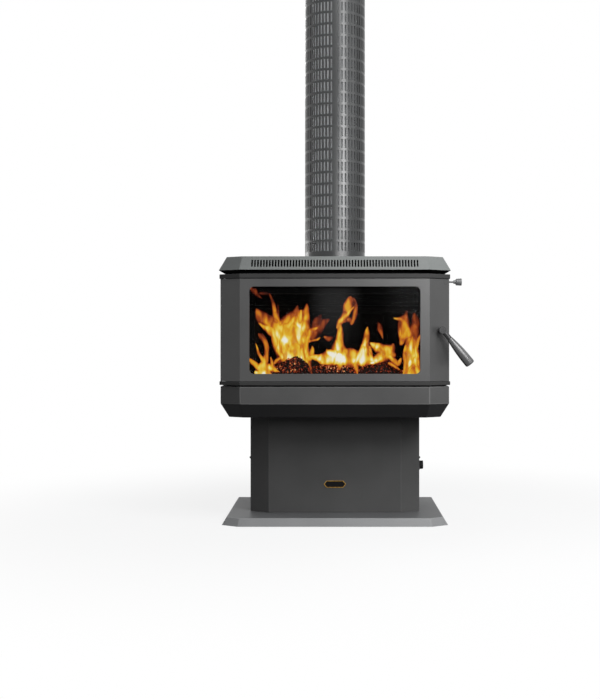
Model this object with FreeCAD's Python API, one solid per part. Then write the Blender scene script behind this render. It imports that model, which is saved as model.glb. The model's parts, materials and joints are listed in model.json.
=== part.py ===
import FreeCAD, Part
import math
import os

Vec = FreeCAD.Vector

# Frame: millimetres, +Z up, the front faces -Y, the origin is the middle of the base on the floor.

# Overall plan of the casing
body_width = 720.0
body_depth = 560.0
body_chamfer_wide = 65.0
body_chamfer_deep = 45.0
front_overhang = 44.0        # door face ahead of the base's front edge

# Base
base_width = 720.0
base_rear_inset = 9.0        # base's rear edge in from the casing's rear
base_height = 25.0
base_lip_run = 15.0
base_chamfer_wide = 54.0
base_chamfer_deep = 35.0
base_sheet = 3.0
floor_plate_gauge = 6.0
floor_bolt_r = 6.5
floor_bolt_x = 440.0
floor_bolt_y = 260.0

# Pedestal
pedestal_width = 556.0
pedestal_rear_inset = 30.0   # pedestal's rear in from the casing's rear
pedestal_setback = 173.0     # pedestal front behind the door face
pedestal_height = 320.0
pedestal_chamfer_wide = 62.5
pedestal_chamfer_deep = 38.0
pedestal_flange = 22.0
casing_sheet = 2.0

# Lower casing and the bands above and below the door
casing_taper_run = 26.0
casing_taper_height = 43.4
casing_wall_height = 54.1
casing_floor = 3.0
band_spacing = 4.0
lower_band_height = 11.9
upper_band_height = 14.3
band_overhang = 3.0
band_rail = 40.0             # width of the bands along the sides and the rear
spacer_r = 8.0

# Door bay
door_bay_height = 322.0
door_gap = 1.2
door_plate = 8.0
door_return = 7.0            # length of the door's ends behind the chamfers
window_width = 532.0
window_height = 272.0
window_rise = 24.2           # window's lower edge above the lower band
window_corner = 15.0
glass_gauge = 4.0
glass_lap_side = 7.0
glass_lap_edge = 5.0
gasket_gauge = 1.5
gasket_width = 4.0
retainer_gauge = 2.0
retainer_cover = 4.5         # retainer's reach over the glass
retainer_side_margin = 9.0
retainer_edge_margin = 1.0
retainer_screw_r = 2.0
retainer_screw_head_r = 3.4
retainer_screw_step = 100.0
rope_d = 10.0
rope_gap = 0.3
rope_rib = 1.5
rope_rib_deep = 7.0
seal_land = 3.0

# Door hinge
hinge_inset = 14.0           # hinge axis in from the casing's side face
hinge_behind_chamfer = 2.0
hinge_pin_r = 5.0
hinge_pin_deep = 40.0
hinge_bush_r = 8.0
hinge_barrel_r = 9.0
hinge_barrel_length = 46.0
running_clearance = 0.05
swing_clearance = 2.0

# Door handle and latch
handle_inset = 24.0          # spindle axis in from the casing's side face
handle_droop = 50.8          # degrees below level
handle_hub_r = 11.4
handle_hub_length = 22.0
handle_neck_r = 8.0
handle_neck_end = 36.0
handle_reach = 138.0
handle_grip_r = 8.8
handle_grip_end_r = 15.5
handle_tip = 5.0             # length of the grip's rounded end
spindle_r = 6.0
handle_bush_r = 10.0
handle_bush_end = 46.0       # bush's inner end behind the door face
cam_gauge = 7.0
cam_length = 32.0
cam_width = 16.0
cam_hub_r = 11.0
latch_gap = 0.4
keeper_gauge = 6.0
keeper_height = 30.0
keeper_reach = 30.0
nut_r = 8.5
nut_gauge = 7.0

# Firebox
firebox_plate = 6.0
rear_duct = 95.4             # firebox's inner rear wall in from the casing's rear
firebox_height = 349.0
brick = 28.0
brick_lip = 4.0              # mouth's lower edge above the floor brick
rail_width = 40.0
rail_spacing = 340.0
baffle_gauge = 6.0
baffle_rise = 226.0          # baffle above the floor brick
baffle_front_gap = 150.0
air_tube_r = 10.0
air_tube_wall = 1.5
air_tube_count = 4
airwash_deep = 66.0
airwash_drop = 25.0          # airwash lip below the mouth's upper edge
airwash_sheet = 2.0
airwash_slot = 8.0

# Air control
air_rod_r = 3.0
air_rod_drop = 7.6           # rod axis below the upper band
air_rod_setback = 92.0
air_collar_r = 6.0
air_collar_length = 7.0
air_knob_r = 11.8
air_knob_neck_r = 10.62
air_knob_rounding = 1.416
air_knob_length = 18.5
air_knob_standoff = 25.5     # knob's inner face out from the casing's side
air_box_width = 40.0
air_box_height = 28.0
air_box_sheet = 2.0
air_plate_gauge = 3.0
air_plate_length = 20.0
air_lug_cover = 0.8          # lug's reach past the rod
air_travel_in = 15.0
air_travel_out = 25.0
slide_clearance = 0.4

# Canopy
outlet_height = 12.1
canopy_overhang = 5.0
canopy_bevel_run = 24.0
canopy_bevel_height = 43.0
canopy_return_run = 22.0
canopy_sheet = 2.5
canopy_slot_count = 57
canopy_slot_pitch = 9.2
canopy_slot_width = 5.0
canopy_slot_rise = 9.2       # slots' lower end above the bevel's lower edge
canopy_slot_height = 22.0
canopy_flue_hole_r = 85.0

# Flue
flue_setback = 330.0         # flue axis behind the door face
flue_r = 75.0
flue_wall = 1.0
flue_stand = 12.0            # flue's end above the guard
flue_socket_r = 75.5
flue_socket_length = 50.0
flue_socket_flare = 10.0
flue_outlet_r = 70.0
spigot_wall = 4.0
spigot_height = 60.0
spigot_flange_r = 100.0
spigot_clearance = 0.3
guard_r = 101.5
guard_wall = 1.0
guard_length = 914.0
guard_slots_around = 54      # places for slots, one of them taken by the seam
guard_slot_width = 5.0
guard_slot_height = 30.0
guard_row_pitch = 37.9
guard_plain_foot = 29.5      # plain band at the guard's lower end
guard_spacer_width = 15.0
guard_spacer_gauge = 3.0
guard_spacer_inset = 60.0
guard_spacer_count = 3
spacer_clearance = 0.2

# Fan in the pedestal
fan_setback = 335.0          # rotor axis behind the door face
fan_rise = 90.0              # rotor axis above the base
fan_rotor_r = 45.0
fan_rotor_length = 280.0
fan_blade_count = 20
fan_blade_deep = 12.0
fan_blade_gauge = 1.2
fan_disc = 3.0
fan_shaft_r = 4.0
fan_housing_gap = 9.0
fan_housing_sheet = 2.0
fan_outlet = 70.0
fan_motor_r = 36.0
fan_motor_length = 58.0
fan_motor_rounding = 5.4
fan_bracket_gauge = 3.0
fan_bracket_width = 30.0
side_screw_setback = 230.0
side_screw_rise = 174.4      # above the base
side_screw_head_r = 3.6
side_screw_head = 4.5
screw_r = 2.4
screw_clearance = 0.1
fan_knob_setback = 275.0
fan_knob_rise = 144.0        # above the base
fan_knob_skirt_r = 18.0
fan_knob_grip_r = 13.5
fan_knob_skirt = 6.0
fan_knob_length = 17.0
fan_knob_pointer = 20.0 / 3   # width of the pointer bar
fan_knob_clearance = 0.5
switch_size = 34.0
switch_deep = 26.0
switch_shaft_r = 3.0
switch_neck_clearance = 2.0

# Rear panels, badge and fuel
panel_screw_r = 2.0
panel_screw_head_r = 4.5
panel_screw_head = 2.6
panel_screw_inset = 11.0
intake_slot_count = 14
intake_slot_width = 6.0
intake_slot_height = 90.0
intake_slot_pitch = 16.0
gland_r = 11.0
gland_thread_r = 7.7
gland_hole_r = 4.5
gland_length = 22.0
terminal_size = 60.0
badge_width = 72.0
badge_height = 22.0
badge_gauge = 2.5
badge_end = 9.0
badge_rise = 93.0            # badge's middle above the base
ember_height = 14.0
ember_inset = 30.0
log_r = 19.0

# Shares of a piece's own size
dome_shoulder = 0.75         # where a dome head's arc passes, of its radius and height
dome_crown = 0.2             # flat on a dome head, of its radius
grip_swell = 0.9             # the grip's side arcs out to this, of its end radius
grip_swell_at = 0.45         # and at this share of its length
grip_bulge = 0.906           # where the grip's end arc passes, of its radius
grip_bulge_at = 0.707        # and of the rounded end's length
grip_crown = 0.677           # flat on the grip's end, of its radius
band_nose = 0.15             # rounding of a band's edge, of its height
spacer_stations = (0.08, 0.5)   # spacers along a side panel's depth

flat = 1e-6                  # an edge shorter than this along an axis lies across it

# Levels
pedestal_top = base_height + pedestal_height
casing_shoulder = pedestal_top + casing_taper_height
casing_top = casing_shoulder + casing_wall_height
lower_band_bottom = casing_top + band_spacing
lower_band_top = lower_band_bottom + lower_band_height
upper_band_bottom = lower_band_top + door_bay_height
upper_band_top = upper_band_bottom + upper_band_height
canopy_eave = upper_band_top + outlet_height
canopy_top = canopy_eave + canopy_bevel_height
door_bottom = lower_band_top + door_gap
door_top = upper_band_bottom - door_gap
window_bottom = lower_band_top + window_rise
window_top = window_bottom + window_height
window_middle = (window_bottom + window_top) / 2

# Places in plan
base_depth = body_depth - front_overhang - base_rear_inset
front = -(base_depth / 2 + front_overhang)
rear = front + body_depth
body_half = body_width / 2
pedestal_front = front + pedestal_setback
pedestal_rear = rear - pedestal_rear_inset
pedestal_half = pedestal_width / 2
flue_y = front + flue_setback

# Door stack, from the door face inwards
glass_front = door_plate + gasket_gauge
glass_back = glass_front + glass_gauge
glass_half = window_width / 2 + glass_lap_side
glass_low = window_bottom - glass_lap_edge
glass_high = window_top + glass_lap_edge
rib_half = glass_half + retainer_side_margin
rib_low = glass_low - retainer_edge_margin
rib_high = glass_high + retainer_edge_margin
rope_offset = rope_rib + rope_gap + rope_d / 2
rope_half = rib_half + rope_offset
rope_low = rib_low - rope_offset
rope_high = rib_high + rope_offset
firebox_face = front + door_plate + 2 * rope_gap + rope_d

# Firebox
mouth_half = rope_half - rope_d / 2 - seal_land
mouth_low = rope_low + rope_d / 2 + seal_land
mouth_high = rope_high - rope_d / 2 - seal_land
face_half = rope_half + rope_d / 2 + seal_land
firebox_inside = firebox_face + firebox_plate
firebox_back = rear - rear_duct
firebox_outer = mouth_half + firebox_plate
brick_top = mouth_low - brick_lip
brick_side_height = baffle_rise - 2 * air_tube_r
firebox_floor = brick_top - brick
firebox_roof = firebox_floor + firebox_height
roof_top = firebox_roof + firebox_plate

# Hinge, handle and side panels
hinge_x = -(body_half - hinge_inset)
hinge_y = front + body_chamfer_deep + hinge_behind_chamfer
door_end = front + body_chamfer_deep + door_return
swing_r = math.hypot(hinge_inset, door_end - hinge_y)
panel_front = hinge_y + swing_r + swing_clearance
handle_x = body_half - handle_inset
handle_z = (door_bottom + door_top) / 2
hub_side = handle_inset + handle_hub_r
hub_back = front + body_chamfer_deep * (1 - hub_side / body_chamfer_wide) - latch_gap
hub_front = hub_back - handle_hub_length
handle_y = (hub_front + hub_back) / 2
bush_end = front + handle_bush_end
cam_front = bush_end + latch_gap
cam_back = cam_front + cam_gauge

# Fan
fan_y = front + fan_setback
fan_z = base_height + fan_rise
fan_half = fan_rotor_length / 2
fan_wall = fan_half + fan_housing_gap
knob_y = front + fan_knob_setback
knob_z = base_height + fan_knob_rise

# Air control
air_z = upper_band_bottom - air_rod_drop
air_y = front + air_rod_setback
air_box_low = upper_band_bottom - door_gap - air_box_height
air_box_length = air_travel_in + air_plate_length + air_travel_out + 3 * slide_clearance + air_box_sheet
air_box_end = firebox_outer + air_box_length


def box(x, y, z):
    return Part.makeBox(x[1] - x[0], y[1] - y[0], z[1] - z[0], Vec(x[0], y[0], z[0]))


def rod(radius, start, axis, length):
    return Part.makeCylinder(radius, length, Vec(*start), Vec(*axis))


def plan(half, near, far, chamfer_wide, chamfer_deep):
    """Corners of a plan with chamfered front corners, from the rear left round to the rear right."""
    return [
        (-half, far),
        (-half, near + chamfer_deep),
        (-half + chamfer_wide, near),
        (half - chamfer_wide, near),
        (half, near + chamfer_deep),
        (half, far),
    ]


def inset(points, distance):
    """The same plan with every side moved inwards by a distance."""
    lines = []
    for (x0, y0), (x1, y1) in zip(points, points[1:] + points[:1]):
        length = math.hypot(x1 - x0, y1 - y0)
        dx = (x1 - x0) / length
        dy = (y1 - y0) / length
        lines.append((x0 - dy * distance, y0 + dx * distance, dx, dy))
    corners = []
    for (ax, ay, adx, ady), (bx, by, bdx, bdy) in zip(lines[-1:] + lines[:-1], lines):
        t = ((bx - ax) * bdy - (by - ay) * bdx) / (adx * bdy - ady * bdx)
        corners.append((ax + adx * t, ay + ady * t))
    return corners


def polygon(points, z):
    corners = [Vec(x, y, z) for x, y in points]
    return Part.makePolygon(corners + corners[:1])


def prism(points, low, high):
    return Part.Face(polygon(points, low)).extrude(Vec(0, 0, high - low))


def taper(low_points, low, high_points, high):
    return Part.makeLoft([polygon(low_points, low), polygon(high_points, high)], True, True)


def slanted(sheet, run, rise):
    """Level thickness of a sheet that slopes by run over rise."""
    return sheet * math.hypot(run, rise) / rise


def turned(profile, centre, axis):
    """Solid of revolution of a closed profile about an axis."""
    return Part.Face(profile).revolve(Vec(*centre), Vec(*axis), 360)


def placed(shape, start, axis):
    """A shape made along +Z at the origin, moved to its start and turned to its axis."""
    shape.Placement = FreeCAD.Placement(Vec(*start), FreeCAD.Rotation(Vec(0, 0, 1), Vec(*axis)))
    return shape


def dome_screw(start, axis, head_r, head, shank_r, shank):
    """Screw whose head stands along the axis from its start, with the shank the other way."""
    shoulder = Vec(dome_shoulder * head_r, 0, dome_shoulder * head)
    crown = Vec(dome_crown * head_r, 0, head)
    edge = [
        Part.makeLine(Vec(0, 0, -shank), Vec(shank_r, 0, -shank)),
        Part.makeLine(Vec(shank_r, 0, -shank), Vec(shank_r, 0, 0)),
        Part.makeLine(Vec(shank_r, 0, 0), Vec(head_r, 0, 0)),
        Part.Arc(Vec(head_r, 0, 0), shoulder, crown).toShape(),
        Part.makeLine(crown, Vec(0, 0, head)),
        Part.makeLine(Vec(0, 0, head), Vec(0, 0, -shank)),
    ]
    return placed(turned(Part.Wire(edge), (0, 0, 0), (0, 0, 1)), start, axis)


def rounded_bar(x, y, z, radius):
    """Box with its four edges along Y rounded."""
    block = box(x, y, z)
    edges = [e for e in block.Edges if e.BoundBox.XLength < flat and e.BoundBox.ZLength < flat]
    return block.makeFillet(radius, edges)


base_plan = plan(base_width / 2, -base_depth / 2, base_depth / 2, base_chamfer_wide, base_chamfer_deep)
pedestal_plan = plan(
    pedestal_half, pedestal_front, pedestal_rear, pedestal_chamfer_wide, pedestal_chamfer_deep
)
body_plan = plan(body_half, front, rear, body_chamfer_wide, body_chamfer_deep)


def bay_opening(low, high):
    """Room for the firebox and the warm air inside the bands and the casing's flange."""
    face_room = face_half + door_gap
    face = box((-face_room, face_room), (firebox_face - door_gap / 2, panel_front + band_rail), (low, high))
    side = body_half - band_rail
    return face.fuse(box((-side, side), (panel_front, rear - band_rail), (low, high)))


# Base


def floor_bolt_holes(low, high):
    middle = (pedestal_front + pedestal_rear) / 2
    holes = []
    for x in (-floor_bolt_x / 2, floor_bolt_x / 2):
        for y in (middle - floor_bolt_y / 2, middle + floor_bolt_y / 2):
            holes.append(rod(floor_bolt_r, (x, y, low), (0, 0, 1), high - low))
    return Part.makeCompound(holes)


def floor_plate():
    lip = slanted(base_sheet, base_lip_run, base_height)
    room = lip + base_lip_run * floor_plate_gauge / base_height + spacer_clearance
    plate = prism(inset(base_plan, room), 0, floor_plate_gauge)
    return plate.cut(floor_bolt_holes(0, floor_plate_gauge))


def base_plate():
    lip = slanted(base_sheet, base_lip_run, base_height)
    under = base_height - base_sheet
    under_run = base_lip_run * under / base_height
    outer = taper(base_plan, 0, inset(base_plan, base_lip_run), base_height)
    inner = taper(inset(base_plan, lip), 0, inset(base_plan, lip + under_run), under)
    access = prism(inset(pedestal_plan, casing_sheet + pedestal_flange), under, base_height)
    return outer.cut(inner).cut(access)


# Pedestal


def pedestal_shell():
    inner = inset(pedestal_plan, casing_sheet)
    flange = inset(pedestal_plan, casing_sheet + pedestal_flange)
    shell = prism(pedestal_plan, base_height, pedestal_top)
    shell = shell.cut(prism(inner, base_height + casing_sheet, pedestal_top - casing_sheet))
    shell = shell.cut(prism(flange, base_height, pedestal_top))
    opening = pedestal_half - pedestal_flange
    sheet = (pedestal_rear - 2 * casing_sheet, pedestal_rear + casing_sheet)
    tall = (base_height + pedestal_flange, pedestal_top - pedestal_flange)
    shell = shell.cut(box((-opening, opening), sheet, tall))
    for side in (-1, 1):
        shell = shell.cut(side_screw_hole(side))
    neck_r = switch_shaft_r + switch_neck_clearance
    neck = rod(neck_r, (pedestal_half - switch_deep, knob_y, knob_z), (1, 0, 0), 2 * switch_deep)
    return shell.cut(neck).cut(Part.makeCompound(pedestal_screw_holes()))


def pedestal_screw_points():
    x = pedestal_half - panel_screw_inset
    low = base_height + panel_screw_inset
    high = pedestal_top - panel_screw_inset
    return [(side * x, z) for side in (-1, 1) for z in (low, (low + high) / 2, high)]


def pedestal_screw_holes():
    start = pedestal_rear - 2 * casing_sheet
    r = panel_screw_r + screw_clearance
    return [rod(r, (x, start, z), (0, 1, 0), 4 * casing_sheet) for x, z in pedestal_screw_points()]


def intake_slots(y):
    slots = []
    for i in range(intake_slot_count):
        x = (i - (intake_slot_count - 1) / 2) * intake_slot_pitch
        wide = (x - intake_slot_width / 2, x + intake_slot_width / 2)
        slots.append(box(wide, y, (fan_z - intake_slot_height / 2, fan_z + intake_slot_height / 2)))
    return Part.makeCompound(slots)


def gland_place():
    inset_by = pedestal_flange + terminal_size / 2
    return pedestal_half - inset_by, base_height + inset_by


def pedestal_rear_panel():
    sheet = (pedestal_rear, pedestal_rear + casing_sheet)
    panel = box((-pedestal_half, pedestal_half), sheet, (base_height, pedestal_top))
    x, z = gland_place()
    gland = rod(gland_thread_r, (x, pedestal_rear, z), (0, 1, 0), casing_sheet)
    return panel.cut(intake_slots(sheet)).cut(gland).cut(Part.makeCompound(pedestal_screw_holes()))


def panel_screw(x, y, z):
    shank = 2 * casing_sheet
    return dome_screw((x, y, z), (0, 1, 0), panel_screw_head_r, panel_screw_head, panel_screw_r, shank)


def pedestal_rear_screws():
    return [panel_screw(x, pedestal_rear + casing_sheet, z) for x, z in pedestal_screw_points()]


def side_screw_hole(side):
    start = (side * (pedestal_half - 2 * casing_sheet - fan_bracket_gauge), front + side_screw_setback,
             base_height + side_screw_rise)
    return rod(screw_r + screw_clearance, start, (side, 0, 0), 4 * casing_sheet + fan_bracket_gauge)


def pedestal_side_screws():
    shank = casing_sheet + fan_bracket_gauge
    y = front + side_screw_setback
    z = base_height + side_screw_rise
    screws = []
    for side in (-1, 1):
        start = (side * pedestal_half, y, z)
        screws.append(dome_screw(start, (side, 0, 0), side_screw_head_r, side_screw_head, screw_r, shank))
    return screws


def badge_plate():
    half = badge_width / 2
    tall = badge_height / 2
    middle = base_height + badge_rise
    corners = [
        (-half, middle), (-half + badge_end, middle - tall), (half - badge_end, middle - tall),
        (half, middle), (half - badge_end, middle + tall), (-half + badge_end, middle + tall),
    ]
    points = [Vec(x, pedestal_front - badge_gauge, z) for x, z in corners]
    return Part.Face(Part.makePolygon(points + points[:1])).extrude(Vec(0, badge_gauge, 0))


# Casing


def lower_casing():
    low_plan = inset(body_plan, casing_taper_run)
    slope = slanted(casing_sheet, casing_taper_run, casing_taper_height)
    outer = taper(low_plan, pedestal_top, body_plan, casing_shoulder)
    outer = outer.fuse(prism(body_plan, casing_shoulder, casing_top))
    inner_low = inset(low_plan, slope - casing_taper_run * casing_floor / casing_taper_height)
    inner = taper(inner_low, pedestal_top + casing_floor, inset(body_plan, slope), casing_shoulder)
    inner = inner.fuse(prism(inset(body_plan, casing_sheet), casing_shoulder, casing_top - casing_sheet))
    shell = outer.cut(inner).cut(bay_opening(casing_shoulder, casing_top))
    air_way = inset(pedestal_plan, casing_sheet + pedestal_flange)
    return shell.cut(prism(air_way, pedestal_top, pedestal_top + casing_floor))


def firebox_rails():
    low = pedestal_top + casing_floor
    high = firebox_floor - firebox_plate
    rails = []
    for middle in (-rail_spacing / 2, rail_spacing / 2):
        wide = (middle - rail_width / 2, middle + rail_width / 2)
        block = box(wide, (pedestal_front, firebox_back), (low, high))
        hollow = box((wide[0] + casing_floor, wide[1] - casing_floor), (pedestal_front, firebox_back),
                     (low + casing_floor, high - casing_floor))
        rails.append(block.cut(hollow))
    half = rail_spacing / 2 + rail_width
    shelf = box((-half, half), (firebox_inside, pedestal_front), (high - casing_floor, high))
    leg_deep = (pedestal_front - rail_width / 2, pedestal_front)
    for middle in (-rail_spacing / 2, rail_spacing / 2):
        wide = (middle - rail_width / 2, middle + rail_width / 2)
        shelf = shelf.fuse(box(wide, leg_deep, (low, high)))
    return [rails[0], rails[1], shelf]


def spacer_points():
    side = body_half - band_rail / 2
    depth = rear - panel_front
    points = [(s * side, panel_front + depth * f) for s in (-1, 1) for f in spacer_stations]
    return points + [(s * body_half / 2, rear - band_rail / 2) for s in (-1, 1)]


def lower_band_spacers():
    return [rod(spacer_r, (x, y, casing_top), (0, 0, 1), band_spacing) for x, y in spacer_points()]


def band(low, high):
    """Flat frame round the casing with a rounded nose."""
    ring = prism(inset(body_plan, -band_overhang), low, high)
    nose = min(band_nose * (high - low), 2 * band_overhang)
    edges = [e for e in ring.Edges if e.BoundBox.ZLength < flat]
    ring = ring.makeFillet(nose, edges)
    ring = ring.cut(bay_opening(low, high))
    return ring.cut(rod(hinge_bush_r, (hinge_x, hinge_y, low), (0, 0, 1), high - low))


def hinge_bushes():
    bushes = []
    for low, high in ((lower_band_bottom, lower_band_top), (upper_band_bottom, upper_band_top)):
        ring = rod(hinge_bush_r, (hinge_x, hinge_y, low), (0, 0, 1), high - low)
        bore = rod(hinge_pin_r + running_clearance, (hinge_x, hinge_y, low), (0, 0, 1), high - low)
        bushes.append(ring.cut(bore))
    return bushes


def side_panel(side):
    levels = (lower_band_top, upper_band_bottom)
    panel_rear = rear - casing_sheet
    outer = sorted((side * body_half, side * (body_half - casing_sheet)))
    sheet = box(outer, (panel_front, panel_rear), levels)
    lip = sorted((side * body_half, side * (body_half - hinge_inset + casing_sheet)))
    sheet = sheet.fuse(box(lip, (panel_front, panel_front + casing_sheet), levels))
    rear_lip = sorted((side * body_half, side * (body_half - pedestal_flange)))
    sheet = sheet.fuse(box(rear_lip, (panel_rear - casing_sheet, panel_rear), levels))
    if side > 0:
        reach = 4 * casing_sheet
        hole = rod(air_rod_r + slide_clearance, (body_half - reach / 2, air_y, air_z), (1, 0, 0), reach)
        sheet = sheet.cut(hole)
    return sheet.cut(Part.makeCompound(rear_screw_holes()))


def rear_screw_points():
    x = body_half - panel_screw_inset
    low = lower_band_top + panel_screw_inset
    high = upper_band_bottom - panel_screw_inset
    return [(side * x, z) for side in (-1, 1) for z in (low, (low + high) / 2, high)]


def rear_screw_holes():
    start = rear - 3 * casing_sheet
    r = panel_screw_r + screw_clearance
    return [rod(r, (x, start, z), (0, 1, 0), 4 * casing_sheet) for x, z in rear_screw_points()]


def rear_panel():
    panel = box((-body_half, body_half), (rear - casing_sheet, rear), (lower_band_top, upper_band_bottom))
    return panel.cut(Part.makeCompound(rear_screw_holes()))


def rear_panel_screws():
    return [panel_screw(x, rear, z) for x, z in rear_screw_points()]


def canopy():
    eave = inset(body_plan, -canopy_overhang)
    foot = inset(eave, canopy_return_run)
    crown = inset(eave, canopy_bevel_run)
    fold = slanted(canopy_sheet, canopy_return_run, outlet_height)
    bevel = slanted(canopy_sheet, canopy_bevel_run, canopy_bevel_height)
    under = canopy_top - canopy_sheet
    under_run = canopy_bevel_run * (under - canopy_eave) / canopy_bevel_height
    outer = taper(foot, upper_band_top, eave, canopy_eave).fuse(taper(eave, canopy_eave, crown, canopy_top))
    inner = taper(inset(foot, fold), upper_band_top, inset(eave, fold), canopy_eave)
    inner = inner.fuse(taper(inset(eave, bevel), canopy_eave, inset(eave, bevel + under_run), under))
    hood = outer.cut(inner)
    half = face_half + door_gap
    outlet = (front - 2 * canopy_overhang, front + canopy_return_run + fold)
    hood = hood.cut(box((-half, half), outlet, (upper_band_top, canopy_eave)))
    hood = hood.cut(rod(canopy_flue_hole_r, (0, flue_y, under), (0, 0, 1), canopy_sheet))
    slots = []
    low = canopy_eave + canopy_slot_rise
    deep = (front - canopy_overhang, front + canopy_bevel_run)
    for i in range(canopy_slot_count):
        x = (i - (canopy_slot_count - 1) / 2) * canopy_slot_pitch
        wide = (x - canopy_slot_width / 2, x + canopy_slot_width / 2)
        slots.append(box(wide, deep, (low, low + canopy_slot_height)))
    return hood.cut(Part.makeCompound(slots))


# Firebox


def firebox_shell():
    tall = (firebox_floor - firebox_plate, roof_top)
    tube = box((-firebox_outer, firebox_outer), (firebox_inside, firebox_back + firebox_plate), tall)
    face = box((-face_half, face_half), (firebox_face, firebox_inside), tall)
    inside = box((-mouth_half, mouth_half), (firebox_inside, firebox_back), (firebox_floor, firebox_roof))
    mouth = box((-mouth_half, mouth_half), (firebox_face, firebox_inside), (mouth_low, mouth_high))
    outlet = rod(flue_outlet_r, (0, flue_y, firebox_roof), (0, 0, 1), firebox_plate)
    port = box((mouth_half, firebox_outer), (air_y - air_box_width / 4, air_y + air_box_width / 4),
               (air_box_low + 3 * air_box_sheet, air_z))
    return tube.fuse(face).cut(inside).cut(mouth).cut(outlet).cut(port)


def firebrick_floor():
    return box((-mouth_half, mouth_half), (firebox_inside, firebox_back), (firebox_floor, brick_top))


def firebrick_side(side):
    wide = sorted((side * mouth_half, side * (mouth_half - brick)))
    deep = (firebox_inside + brick, firebox_back - brick)
    return box(wide, deep, (brick_top, brick_top + brick_side_height))


def firebrick_rear():
    return box((-mouth_half, mouth_half), (firebox_back - brick, firebox_back),
               (brick_top, brick_top + brick_side_height))


def baffle_level():
    return brick_top + baffle_rise


def baffle_plate():
    return box((-mouth_half, mouth_half), (front + baffle_front_gap, firebox_back),
               (baffle_level(), baffle_level() + baffle_gauge))


def secondary_air_tubes():
    start = front + baffle_front_gap + 2 * air_tube_r
    step = (firebox_back - brick - 2 * air_tube_r - start) / (air_tube_count - 1)
    z = baffle_level() - air_tube_r
    tubes = []
    for i in range(air_tube_count):
        place = (-mouth_half, start + i * step, z)
        outer = rod(air_tube_r, place, (1, 0, 0), 2 * mouth_half)
        tubes.append(outer.cut(rod(air_tube_r - air_tube_wall, place, (1, 0, 0), 2 * mouth_half)))
    return tubes


def airwash_channel():
    low = mouth_high - airwash_drop
    deep = (firebox_inside + airwash_slot, firebox_inside + airwash_slot + airwash_deep)
    duct = box((-mouth_half, mouth_half), deep, (low, firebox_roof))
    hollow = box((-mouth_half, mouth_half), (deep[0] + airwash_sheet, deep[1] - airwash_sheet),
                 (low + airwash_sheet, firebox_roof))
    slot = box((-mouth_half + brick, mouth_half - brick), (deep[0], deep[0] + airwash_sheet),
               (firebox_roof - airwash_slot, firebox_roof))
    return duct.cut(hollow).cut(slot)


def ember_bed():
    half = mouth_half - brick - ember_inset
    near = firebox_inside + brick + ember_inset
    far = firebox_back - brick - ember_inset
    bed = plan(half, near, far, ember_inset, ember_inset)
    return taper(bed, brick_top, inset(bed, ember_height), brick_top + ember_height)


def fuel_logs():
    base = brick_top + ember_height
    near = firebox_inside + brick + 3 * ember_inset
    length = 2 * (mouth_half - brick - 2 * ember_inset)
    low = [
        rod(log_r, (-length / 2, near + log_r, base + log_r), (1, 0, 0), length),
        rod(log_r, (-length / 2, near + 5 * log_r, base + log_r), (1, 0, 0), length),
    ]
    lying = base + 3 * log_r
    across = [
        rod(log_r, (-length / 4, near, lying), (0, 1, 0), 6 * log_r),
        rod(log_r, (length / 4, near, lying), (0, 1, 0), 6 * log_r),
    ]
    return low + across


# Flue


def flue_spigot():
    bore = flue_r + spigot_clearance
    collar = rod(bore + spigot_wall, (0, flue_y, roof_top), (0, 0, 1), spigot_height)
    collar = collar.fuse(rod(spigot_flange_r, (0, flue_y, roof_top), (0, 0, 1), firebox_plate))
    return collar.cut(rod(bore, (0, flue_y, roof_top), (0, 0, 1), spigot_height))


def flue_pipe():
    top = canopy_top + guard_length + flue_stand
    socket = top - flue_socket_length
    flare = socket - flue_socket_flare
    inner = flue_r - flue_wall
    outline = [
        (inner, roof_top), (flue_r, roof_top), (flue_r, flare), (flue_socket_r + flue_wall, socket),
        (flue_socket_r + flue_wall, top), (flue_socket_r, top), (flue_socket_r, socket), (inner, flare),
    ]
    points = [Vec(r, flue_y, z) for r, z in outline]
    return turned(Part.makePolygon(points + points[:1]), (0, flue_y, 0), (0, 0, 1))


def guard_band(low, height):
    outer = rod(guard_r, (0, flue_y, low), (0, 0, 1), height)
    return outer.cut(rod(guard_r - guard_wall, (0, flue_y, low), (0, 0, 1), height))


def guard_row(low):
    """One row of the guard with its slots, cut as a ring, plain at the front where the seam runs."""
    half = guard_slot_width / 2
    start = low + (guard_row_pitch - guard_slot_height) / 2
    deep = (flue_y - guard_r - guard_wall, flue_y - guard_r + 3 * guard_wall)
    slots = []
    for i in range(1, guard_slots_around):
        slot = box((-half, half), deep, (start, start + guard_slot_height))
        slot.rotate(Vec(0, flue_y, 0), Vec(0, 0, 1), 360 * i / guard_slots_around)
        slots.append(slot)
    return guard_band(low, guard_row_pitch).cut(Part.makeCompound(slots))


def flue_guard():
    start = canopy_top + guard_plain_foot
    rows = int((guard_length - guard_plain_foot) / guard_row_pitch)
    row = guard_row(start)
    bands = [row.translated(Vec(0, 0, i * guard_row_pitch)) for i in range(rows)]
    end = start + rows * guard_row_pitch
    head = canopy_top + guard_length - end
    if head > guard_wall:
        bands.append(guard_band(end, head))
    return guard_band(canopy_top, guard_plain_foot).fuse(bands)


def flue_guard_spacers():
    near = flue_r + spacer_clearance
    far = guard_r - guard_wall - spacer_clearance
    spacers = []
    for z in (canopy_top + guard_spacer_inset, canopy_top + guard_length - 2 * guard_spacer_inset):
        ring = rod(far, (0, flue_y, z), (0, 0, 1), guard_spacer_gauge)
        ring = ring.cut(rod(near, (0, flue_y, z), (0, 0, 1), guard_spacer_gauge))
        for i in range(guard_spacer_count):
            half = guard_spacer_width / 2
            arm = box((0, guard_r), (flue_y - half, flue_y + half), (z, z + guard_spacer_gauge))
            arm.rotate(Vec(0, flue_y, 0), Vec(0, 0, 1), 90 + 360 * i / guard_spacer_count)
            spacers.append(ring.common(arm))
    return spacers


# Door


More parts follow.
